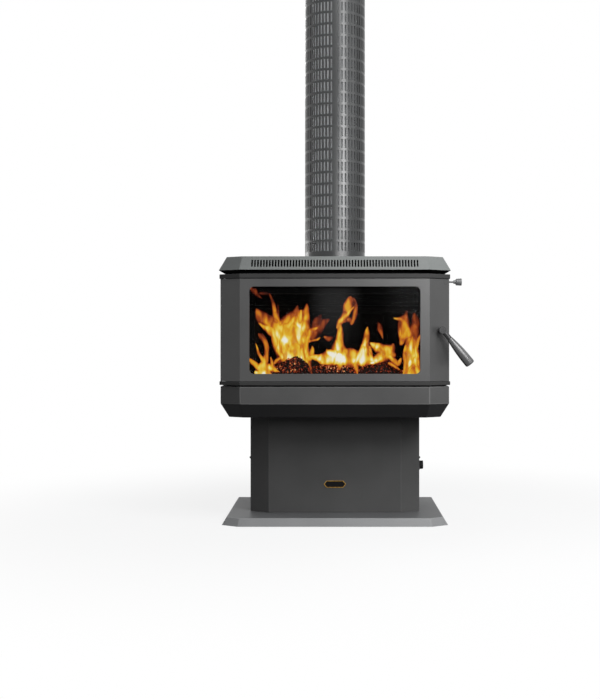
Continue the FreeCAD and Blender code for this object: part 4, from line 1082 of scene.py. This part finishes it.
def stroke(depth, heat, *rows):
    return {"depth": depth, "heat": heat, "rows": rows}


flameLook = {
    "focal": 1126.0,
    "centre": (337.0, 338.0),
    "frame": ((246.5, 284.0), (421.5, 377.0)),   # the photo pixels that the fire fills
    "cell": 0.55,
    "samples": 36,
    "seed": 19,                       # fixed, so that the sway is the same in every run
    "sway": [(1.7, 12.0, 3.0), (0.9, 5.0, 8.0)],   # px moved, px from swirl to swirl, height in the noise
    "swirlTall": 1.7,                 # height of a swirl, of its width
    "finest": 0.4,                    # px, the least half width
    "melt": 4,                        # how closely strokes keep to the hotter one
    "falloff": 0.95,
    "cooling": 0.46,                  # from root to tip
    "least": 0.045,                   # the sheet ends where it is cooler
    "thick": (0.5 * mm, 8.0 * mm),
    "smoothing": 3,
    "layersSeen": 24,
    "flow": {"stretch": (1.0, 0.5, 0.42), "clouds": (58.0, 0.0, 0.5),
             "from": (0.34, 0.66), "to": (0.62, 1.20)},
    "fold": {"stretch": (1.0, 0.5, 0.55), "clouds": (30.0, 1.0, 0.8),
             "from": (0.0, 0.12), "to": (0.62, 1.04)},
    "opacity": {"from": (0.04, 0.38), "to": (0.0, 0.95)},
    "tones": [(0.0, tone(90, 30, 20)), (0.10, tone(150, 58, 36)), (0.22, tone(202, 96, 40)),
              (0.36, tone(224, 144, 36)), (0.52, tone(238, 188, 48)), (0.70, tone(247, 220, 96)),
              (0.88, tone(252, 242, 186)), (1.0, tone(254, 252, 240))],
    "strokes": {
        "trunk": stroke((-0.152, -0.205), 0.80, (297, 362, 15), (293, 352, 18), (291, 343, 19),
            (291, 334, 19), (296, 326, 16), (300, 319, 9.5), (302, 314, 5), (303, 311, 1.5)),
        "trunkLeftTooth": stroke((-0.160, -0.200), 0.56, (293, 328, 7), (294, 319, 5), (296, 311, 3),
            (298, 305, 0.8)),
        "trunkRightTooth": stroke((-0.160, -0.200), 0.58, (304, 328, 7.4), (305, 317, 5.4), (306, 309, 3.2),
            (306.5, 304.5, 0.9)),
        "trunkPoint": stroke((-0.165, -0.190), 0.72, (303, 338, 8), (309, 332, 5.5), (314, 329, 2.2),
            (317.5, 328, 0.6)),
        "wing": stroke((-0.160, -0.220), 0.52, (291, 338, 11), (281, 332, 10), (272, 326, 9.5),
            (264, 320, 7.5), (259, 314, 4.4), (256.5, 308.5, 1)),
        "wingGlow": stroke((-0.165, -0.220), 0.84, (288, 342, 4), (279, 336, 5), (271.5, 331, 5),
            (264, 328, 2.6), (259, 324, 1)),
        "lick": stroke((-0.170, -0.268), 0.50, (280, 331, 5), (277.5, 321, 4.2), (275.5, 313, 3.4),
            (273.5, 306, 2.6), (271.3, 299.5, 1.9), (269.5, 293.5, 0.8)),
        "lickShadow": stroke((-0.230, -0.240), 0.17, (279.5, 317, 1.6), (279, 309, 2), (278, 302, 0.8)),
        "heart": stroke((-0.180, -0.215), 1.06, (300.5, 342, 4), (299.5, 334, 5), (298.5, 327, 4.4),
            (299, 318, 2.4), (300, 311, 0.8)),
        "leftRoot": stroke((-0.176, -0.185), 0.92, (286.5, 359, 3.4), (285.5, 350, 3.8), (284, 341, 1.6)),
        "rightRoot": stroke((-0.172, -0.185), 0.92, (303, 359, 3.2), (302, 350, 3.4), (303.5, 340, 1.2)),
        "leftFlank": stroke((-0.170, -0.205), 0.86, (282, 358, 3), (278.5, 349, 4.2), (276.5, 341, 4.2),
            (273, 334, 3), (268, 329, 1)),
        "rightFlank": stroke((-0.170, -0.195), 0.74, (307, 357, 3), (307, 347, 3), (308, 337, 3),
            (306, 327, 2)),
        "redSweep": stroke((-0.170, -0.195), 0.25, (310, 339, 5), (315, 333, 7.4), (319.5, 327, 6.4),
            (324, 323, 4.4), (330, 319.5, 1.2)),
        "redVeil": stroke((-0.180, -0.185), 0.19, (313.5, 327, 5), (318, 320, 5), (321, 315, 1.6)),
        "redHem": stroke((-0.182, -0.182), 0.56, (310.5, 341.5, 1.4), (316, 340.3, 1.7), (320.5, 338, 0.8)),
        "redFleck": stroke((-0.180, -0.180), 0.27, (324, 337.3, 0.9), (329, 339.2, 3), (334, 337.3, 0.9)),
        "farWisp": stroke((-0.274, -0.274), 0.27, (251, 287, 2), (254.5, 290.5, 3.8), (258, 294.5, 2.8),
            (262.5, 298.7, 0.7)),
        "farGlow": stroke((-0.272, -0.272), 0.14, (262, 293, 2), (266.5, 294.3, 3), (270.5, 296, 1.4)),
        "curl": stroke((-0.232, -0.250), 0.58, (265.5, 361, 2.6), (266.8, 352, 2.5), (267, 345, 2.9),
            (264.5, 340, 3.6), (261, 336.5, 3.4), (258, 334.5, 0.9)),
        "spike": stroke((-0.240, -0.255), 0.66, (264, 364, 3.4), (260.5, 356.5, 2.1), (257.5, 350, 1.8),
            (254.7, 343, 0.7)),
        "bowl": stroke((-0.236, -0.240), 0.92, (264, 376, 8.5), (263, 369, 6.6), (264, 362, 4),
            (264.7, 356, 1.4)),
        "bowlRight": stroke((-0.236, -0.232), 0.86, (262, 366, 4), (268, 366, 3.6), (274, 369, 2.7),
            (279.5, 371.3, 0.8)),
        "bowlLeft": stroke((-0.248, -0.262), 0.52, (262, 370, 4.4), (257, 366, 3.2), (252, 361.5, 2.3),
            (249.3, 358.6, 0.8)),
        "bowlWhite": stroke((-0.242, -0.242), 0.92, (257, 373, 2.6), (263, 373, 4.2), (269, 373, 2.4)),
        "bowlTooth": stroke((-0.230, -0.230), 0.62, (272, 367, 2.6), (271, 361.5, 2), (270.2, 357, 0.7)),
        "creeper": stroke((-0.222, -0.222), 0.66, (273.5, 363, 1.6), (277, 360, 2), (281, 358.6, 1.4),
            (284, 358, 0.7)),
        "redRoot": stroke((-0.190, -0.190), 0.18, (278, 358, 2.6), (278, 352, 2.4), (277.5, 347, 0.9)),
        "rightTooth": stroke((-0.188, -0.190), 0.72, (309, 359, 3.4), (312, 353, 2.7), (313, 347, 0.9)),
        "bedLeft": stroke((-0.214, -0.214), 1.02, (311, 357.5, 2.6), (317, 358, 3.8), (323, 358.3, 5),
            (330, 360, 5.6)),
        "slip": stroke((-0.216, -0.218), 0.44, (307, 360, 3.2), (309, 366, 2.8), (311.5, 373, 1.4)),
        "stem": stroke((-0.190, -0.215), 0.66, (341, 361, 10), (339, 351, 8), (338.2, 344, 5.6),
            (340, 337, 3.9), (340.6, 330, 3.3), (339.4, 325, 3.3), (341.5, 320.5, 3.5), (344.5, 316, 3.9),
            (346.5, 311, 4.6), (348, 305.5, 5.8), (349, 301, 4.4), (350, 297, 1.1)),
        "stemLine": stroke((-0.200, -0.215), 0.84, (337.5, 327, 1.2), (340.3, 321.5, 1.9),
            (345, 315.7, 2.1), (349, 311, 1.7), (353, 307, 0.9)),
        "stemFoot": stroke((-0.200, -0.200), 0.88, (338, 353, 6), (337, 346, 3.4), (336.3, 340, 1.4)),
        "headRed": stroke((-0.214, -0.218), 0.34, (352, 323, 1.8), (354.3, 316, 3), (355, 309, 3.4),
            (354.3, 302, 2.6), (352.5, 298, 0.9)),
        "headLow": stroke((-0.212, -0.212), 0.32, (344.5, 320.7, 2), (349.5, 319.3, 3.4),
            (353.5, 322, 1.8)),
        "bed": stroke((-0.214, -0.214), 0.92, (322, 360, 5), (330, 358, 7.6), (338, 357, 10.2),
            (346, 358, 10), (354, 358.5, 9.6), (362, 359, 8.2), (370, 360, 5.6), (376.5, 361, 2.2)),
        "bedWhite": stroke((-0.218, -0.218), 1.24, (329, 353, 2.6), (334.5, 353.5, 5.6), (341, 358, 5.6),
            (348, 361, 4.8), (355, 361, 5), (363, 360.5, 2.4)),
        "bedNub": stroke((-0.216, -0.216), 0.62, (326, 358, 2.4), (328.5, 353, 2), (327, 349, 0.8)),
        "bedDrip": stroke((-0.220, -0.220), 0.78, (340, 363, 4.6), (339.3, 369.7, 2.2)),
        "bedRunner": stroke((-0.220, -0.222), 0.82, (354.5, 363, 3.4), (356, 368, 2.4), (357.3, 374, 1.2)),
        "spear": stroke((-0.212, -0.220), 0.92, (361, 362, 6.4), (363, 353, 5), (365, 345, 4.5),
            (366, 338, 4.1), (367, 332.5, 3.1), (368.3, 327, 1)),
        "spearWhite": stroke((-0.216, -0.222), 1.3, (356, 361, 2.8), (360.5, 353, 2.7), (363.7, 345, 2.5),
            (365.5, 337.5, 1.7)),
        "spearLeg": stroke((-0.212, -0.216), 0.80, (372, 362, 3.2), (370.2, 354, 3), (369, 346, 2.2)),
        "leaf": stroke((-0.206, -0.206), 0.80, (370.7, 342.3, 1.5), (376, 346, 4.2), (382, 349.3, 6),
            (388, 350.5, 6.6), (392, 348, 4), (393.4, 343.5, 0.8)),
        "leafLow": stroke((-0.208, -0.208), 0.94, (373.5, 363, 2.3), (378, 359, 5.2), (383, 356, 6.6),
            (389, 355, 6.6), (393, 355.5, 3.6)),
        "leafWhite": stroke((-0.212, -0.212), 1.2, (371.5, 363, 1.5), (376, 361, 2.8), (381, 358.7, 3.2),
            (385.5, 355, 1.6)),
        "strayLick": stroke((-0.214, -0.220), 0.74, (389, 357, 2.6), (393, 361, 3.2), (397, 364.7, 3),
            (400, 362, 2.1), (401.2, 358.5, 0.8)),
        "strayRoot": stroke((-0.220, -0.222), 0.72, (389, 364, 1.4), (394, 367.5, 2), (399, 370.3, 1)),
        "redPuff": stroke((-0.206, -0.206), 0.28, (382.3, 338, 0.9), (381, 332, 3), (379.5, 327, 3.8),
            (378, 321.5, 0.9)),
        "edgeLeaf": stroke((-0.250, -0.254), 0.58, (401.5, 343, 2.6), (403, 335, 5.6), (404, 328, 6.6),
            (404.5, 322, 6), (405.7, 317, 3.4), (407.2, 312, 1)),
        "edgeCorner": stroke((-0.252, -0.252), 0.50, (394.7, 318, 0.8), (399, 319.7, 2.3), (403, 321, 4)),
        "edgeTrunk": stroke((-0.256, -0.256), 0.68, (410.5, 376, 7.6), (411, 365, 8), (411.5, 355, 8),
            (411.5, 346, 7), (409.5, 338, 5.6), (408, 329, 3.6)),
        "edgeRed": stroke((-0.262, -0.262), 0.27, (414, 341, 4.4), (414.5, 331, 5.4), (415, 322, 5),
            (415, 314, 1.6)),
        "edgeCore": stroke((-0.262, -0.262), 1.16, (409.7, 375, 2.5), (410, 364, 2.8), (411, 354, 2.8),
            (411.2, 344, 2.2), (412.3, 336, 0.8)),
        "edgeOuter": stroke((-0.264, -0.264), 0.88, (417.5, 375, 2.8), (416.7, 364, 3.2), (415.5, 356, 3.2),
            (415.2, 349, 2.6), (418, 341, 2.1), (420.5, 334, 0.8)),
        "edgeLine": stroke((-0.254, -0.254), 0.76, (403.8, 375, 1.7), (405, 364, 2.2), (404.5, 355, 2.2),
            (406.3, 346, 1.4)),
    },
}


def through(look, px, py, depth):
    share = (depth - cameraLook["place"][1]) / look["focal"]
    return Vector((cameraLook["place"][0] + (px - look["centre"][0]) * share, depth,
                   cameraLook["place"][2] + (look["centre"][1] - py) * share))


def eased(rows, share):
    spot = share * (len(rows) - 1)
    index = min(int(spot), len(rows) - 2)
    part = spot - index
    quad = [rows[min(max(index + step, 0), len(rows) - 1)] for step in (-1, 0, 1, 2)]
    return [0.5 * (2 * b + (c - a) * part + (2 * a - 5 * b + 4 * c - d) * part ** 2
                   + (3 * b - a - 3 * c + d) * part ** 3) for a, b, c, d in zip(*quad)]


def flameField(look):
    (left, top), (right, bottom) = look["frame"]
    px, py = np.meshgrid(np.arange(left, right, look["cell"]), np.arange(top, bottom, look["cell"]))
    swayed = np.stack([px, py], axis=-1)
    noise.seed_set(look["seed"])
    for reach, swirl, level in look["sway"]:
        for row, column in np.ndindex(px.shape):
            spot = Vector((px[row, column] / swirl, py[row, column] / swirl / look["swirlTall"], level))
            swayed[row, column] += reach * np.array(noise.noise_vector(spot)[:2])
    heat, depth = np.zeros(px.shape), np.zeros(px.shape)
    shares = np.linspace(0.0, 1.0, look["samples"])
    for drawn in look["strokes"].values():
        path = np.array([eased(drawn["rows"], share) for share in shares])
        spots, halves = path[:, :2], np.maximum(path[:, 2], look["finest"])
        margin = halves.max() + look["sway"][0][0]
        near = np.all((swayed > spots.min(0) - margin) & (swayed < spots.max(0) + margin), axis=-1)
        away = (((swayed[near][:, None] - spots) ** 2).sum(-1)) / halves ** 2
        along = shares[away.argmin(1)]
        warm = drawn["heat"] * np.clip(1 - away.min(1), 0, 1) ** look["falloff"]
        warm *= 1 - look["cooling"] * along
        root, tip = drawn["depth"]
        heat[near] += warm ** look["melt"]
        depth[near] += warm ** look["melt"] * (root + (tip - root) * along)
    depth = np.divide(depth, heat, out=depth, where=heat > 0)
    return px, py, heat ** (1 / look["melt"]), depth


def flameFront(bm, warmth, look):
    px, py, heat, depth = flameField(look)
    kept = heat > look["least"]
    cells = kept[:-1, :-1] & kept[1:, :-1] & kept[:-1, 1:] & kept[1:, 1:]
    corners = {}
    for row, column in zip(*np.nonzero(cells)):
        square = ((row + 1, column), (row + 1, column + 1), (row, column + 1), (row, column))
        for spot in square:
            if spot not in corners:
                corners[spot] = bm.verts.new(through(look, px[spot], py[spot], depth[spot]))
                corners[spot][warmth] = heat[spot]
        bm.faces.new([corners[spot] for spot in square])
    rims = {vert: [edge.other_vert(vert) for edge in vert.link_edges if edge.is_boundary]
            for vert in bm.verts}
    for turn in range(look["smoothing"]):
        moved = {vert: (vert.co + sum((other.co for other in rim), Vector()) / len(rim)) / 2
                 for vert, rim in rims.items() if rim}
        for vert, spot in moved.items():
            vert.co = spot


def flameSheet(look):
    bm = bmesh.new()
    warmth = bm.verts.layers.float.new("warmth")
    flameFront(bm, warmth, look)
    backs = {}
    thin, fat = look["thick"]
    for vert in list(bm.verts):
        half = thin + (fat - thin) * min(1.0, vert[warmth])
        backs[vert] = bm.verts.new(vert.co + Vector((0, half, 0)))
        backs[vert][warmth] = vert[warmth]
        vert.co.y -= half
    rim = [edge.link_loops[0] for edge in bm.edges if edge.is_boundary]
    walls = [(loop.link_loop_next.vert, loop.vert) for loop in rim]
    for face in list(bm.faces):
        bm.faces.new([backs[vert] for vert in reversed(face.verts)])
    for after, before in walls:
        bm.faces.new((after, before, backs[before], backs[after]))
    return meshFrom(bm, "flames")


def flameShade(look):
    material, tree, shader = startFinish("flame")
    flow, fold = look["flow"], look["fold"]
    flowing = cloud(tree, objectCoords(tree, flow["stretch"]), *flow["clouds"])
    folds = cloud(tree, objectCoords(tree, fold["stretch"]), *fold["clouds"])
    crease = math2(tree, "ABSOLUTE", math2(tree, "SUBTRACT", folds, 0.5))
    streak = math2(tree, "MULTIPLY", spread(tree, flowing, flow["from"], flow["to"]),
                   spread(tree, crease, fold["from"], fold["to"]))
    warm = math2(tree, "MULTIPLY", warmthOf(tree), streak)
    setNode(tree, shader, {
        "Base Color": tone(0, 0, 0),
        "Roughness": 1.0,
        "Specular IOR Level": 0.0,
        "Emission Color": ramp(tree, warm, look["tones"]),
        "Emission Strength": 1.0,
        "Alpha": spread(tree, warm, look["opacity"]["from"], look["opacity"]["to"]),
    })
    return material


def makeFire():
    coal = pieceFrom("coal", roughLump(emberLook), [])
    embers = grown("embers", coalTree(emberLook), emberBed(emberLook), glowingCoal(emberLook), {
        "Coal": coal, "Apart": emberLook["apart"], "Back": emberLook["coalsTo"], "Seed": emberLook["seed"]})
    bpy.data.objects.remove(coal)
    standsFor(embers, "ember_bed")
    bm = bmesh.new()
    heat = bm.verts.layers.float.new("warmth")
    lower, upper = logLook["lengthways"], logLook["across"]
    for depth, seed in zip(lower["depths"], lower["seeds"]):
        charredLog(bm, heat, logLook, lower["half"], False, (0, depth, lower["height"]), seed)
    for side, seed in zip(upper["sides"], upper["seeds"]):
        charredLog(bm, heat, logLook, upper["half"], True, (side, upper["middle"], upper["height"]), seed)
    standsFor(pieceFrom("logs", meshFrom(bm, "logs"), [charredWood(logLook)]), "fuel_logs")
    flames = pieceFrom("flames", flameSheet(flameLook), [flameShade(flameLook)])
    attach(flames, "casing")
    bpy.context.scene.cycles.transparent_max_bounces = flameLook["layersSeen"]
    print("fire made:", len(flames.data.polygons), "flame faces,", len(embers.data.polygons), "ember faces")


makeFire()


# Remaining CAD nodes take a finish by their slot

slotFinish = {
    "band_paint": paints["band"], "guard_paint": paints["guard"], "flue_steel": steels["flueSteel"],
    "firebox_steel": soot, "plain_steel": steels["plainSteel"], "screw_steel": screws, "firebrick": clay,
    "ember": soot, "charred_wood": soot, "glass": pane, "seal_fibre": fibre, "handle_black": paints["hub"],
    "handle_grey": paints["grip"], "knob_steel": paints["knob"], "knob_plastic": plastic,
    "motor_paint": steels["motorZinc"], "badge": enamel, "casing_paint": paints["casing"],
    "door_paint": paints["door"], "canopy_paint": paints["canopy"],
}
nodeFinish = {"air_rod": paints["knob"], "flue_guard_spacers": soot}   # parts unlike the rest of their slot
for node, thing in cadNodes.items():
    thing.data.materials.clear()
    thing.data.materials.append(nodeFinish.get(node, slotFinish[slotOf[node]]))
print("finishes given to the CAD nodes")


# Stage, light and camera

stageLook = {
    "floorSize": 30.0,
    "floorTone": tone(226, 227, 228),
    "bounceTone": tone(66, 66, 68),   # what the floor throws back at the heater
    "fadeFrom": 0.5,
    "fadeTo": 1.8,
    "nearGlow": 0.82,             # share of plain white close to the heater
    "worldDim": 0.03,
    "white": (1, 1, 1, 1),
}


def whiteRays(tree):
    path = addNode(tree, "ShaderNodeLightPath", {})
    seen = math2(tree, "MAXIMUM", path.outputs["Is Camera Ray"], path.outputs["Is Glossy Ray"])
    return math2(tree, "MAXIMUM", seen, path.outputs["Is Transmission Ray"])


def paleFloor(look):
    bm = bmesh.new()
    bmesh.ops.create_grid(bm, x_segments=1, y_segments=1, size=look["floorSize"] / 2)
    material = bpy.data.materials.new("paleFloor")
    material.use_nodes = True
    tree = material.node_tree
    tree.nodes.clear()
    place = nodeOut(tree, "ShaderNodeTexCoord", {}, "Object")
    reach = nodeOut(tree, "ShaderNodeVectorMath", {"operation": "LENGTH", 0: place}, "Value")
    fade = nodeOut(tree, "ShaderNodeMapRange", {
        "interpolation_type": "SMOOTHSTEP", "Value": reach,
        "From Min": look["fadeFrom"], "From Max": look["fadeTo"], "To Min": look["nearGlow"]})
    seen = whiteRays(tree)
    lit = nodeOut(tree, "ShaderNodeBsdfDiffuse", {
        "Color": blendColour(tree, seen, look["bounceTone"], look["floorTone"])})
    white = nodeOut(tree, "ShaderNodeEmission", {"Color": look["white"]})
    share = math2(tree, "MULTIPLY", seen, fade)
    mixed = addNode(tree, "ShaderNodeMixShader", {0: share, 1: lit, 2: white})
    addNode(tree, "ShaderNodeOutputMaterial", {"Surface": mixed.outputs[0]})
    pieceFrom("paleFloor", meshFrom(bm, "paleFloor", False), [material])


def studioWorld(look):
    world = bpy.data.worlds.new("studio")
    bpy.context.scene.world = world
    world.use_nodes = True
    tree = world.node_tree
    tree.nodes.clear()
    strength = spread(tree, whiteRays(tree), (0, 1), (look["worldDim"], 1.0))
    sky = addNode(tree, "ShaderNodeBackground", {"Color": look["white"], "Strength": strength})
    addNode(tree, "ShaderNodeOutputWorld", {"Surface": sky.outputs[0]})


lampLook = {
    "key": {"place": (0.95, -1.45, 1.25), "aim": (0.0, -0.2, 0.75), "size": (0.8, 0.6), "power": 11.0},
    "strip": {"place": (0.95, -1.45, 1.75), "aim": (0.0, -0.2, 1.10), "size": (0.6, 1.3), "power": 19.0},
    "high": {"place": (0.52, -1.53, 2.85), "aim": (0.0, -0.2, 0.75), "size": (1.2, 1.2), "power": 25.0},
    "glint": {"place": (0.79, -3.0, 1.05), "aim": (0.0, -0.2, 0.75), "size": (1.0, 0.7), "power": 17.0},
    "side": {"place": (2.00, -0.70, 1.90), "aim": (0.0, 0.0, 1.35), "size": (1.0, 1.0), "power": 5.0},
    "back": {"place": (-0.30, 2.20, 2.40), "aim": (0.0, 0.2, 0.70), "size": (1.6, 1.2), "power": 22.0},
    "left": {"place": (-1.80, 1.60, 0.65), "aim": (-0.3, 0.1, 0.55), "size": (1.0, 0.8), "power": 17.0},
}


def softLamp(name, look):
    lamp = bpy.data.lights.new(name, "AREA")
    lamp.shape = "RECTANGLE"
    lamp.size, lamp.size_y = look["size"]
    lamp.energy = look["power"]
    lampObject = bpy.data.objects.new(name, lamp)
    lampObject.location = look["place"]
    toward = Vector(look["aim"]) - Vector(look["place"])
    lampObject.rotation_euler = toward.to_track_quat("-Z", "Y").to_euler()
    bpy.context.scene.collection.objects.link(lampObject)


def photoCamera(look):
    lens = bpy.data.cameras.new("photoCamera")
    lens.lens = look["lens"]
    lens.sensor_width = look["sensor"]
    lens.shift_x, lens.shift_y = look["shift"]
    viewer = bpy.data.objects.new("photoCamera", lens)
    viewer.location = look["place"]
    viewer.rotation_euler = (math.radians(90), 0, 0)
    bpy.context.scene.collection.objects.link(viewer)
    bpy.context.scene.camera = viewer


paleFloor(stageLook)
studioWorld(stageLook)
for lampName, lampSettings in lampLook.items():
    softLamp(lampName, lampSettings)
photoCamera(cameraLook)
bpy.context.scene.view_settings.view_transform = "Standard"
print("stage, lamps and camera set")
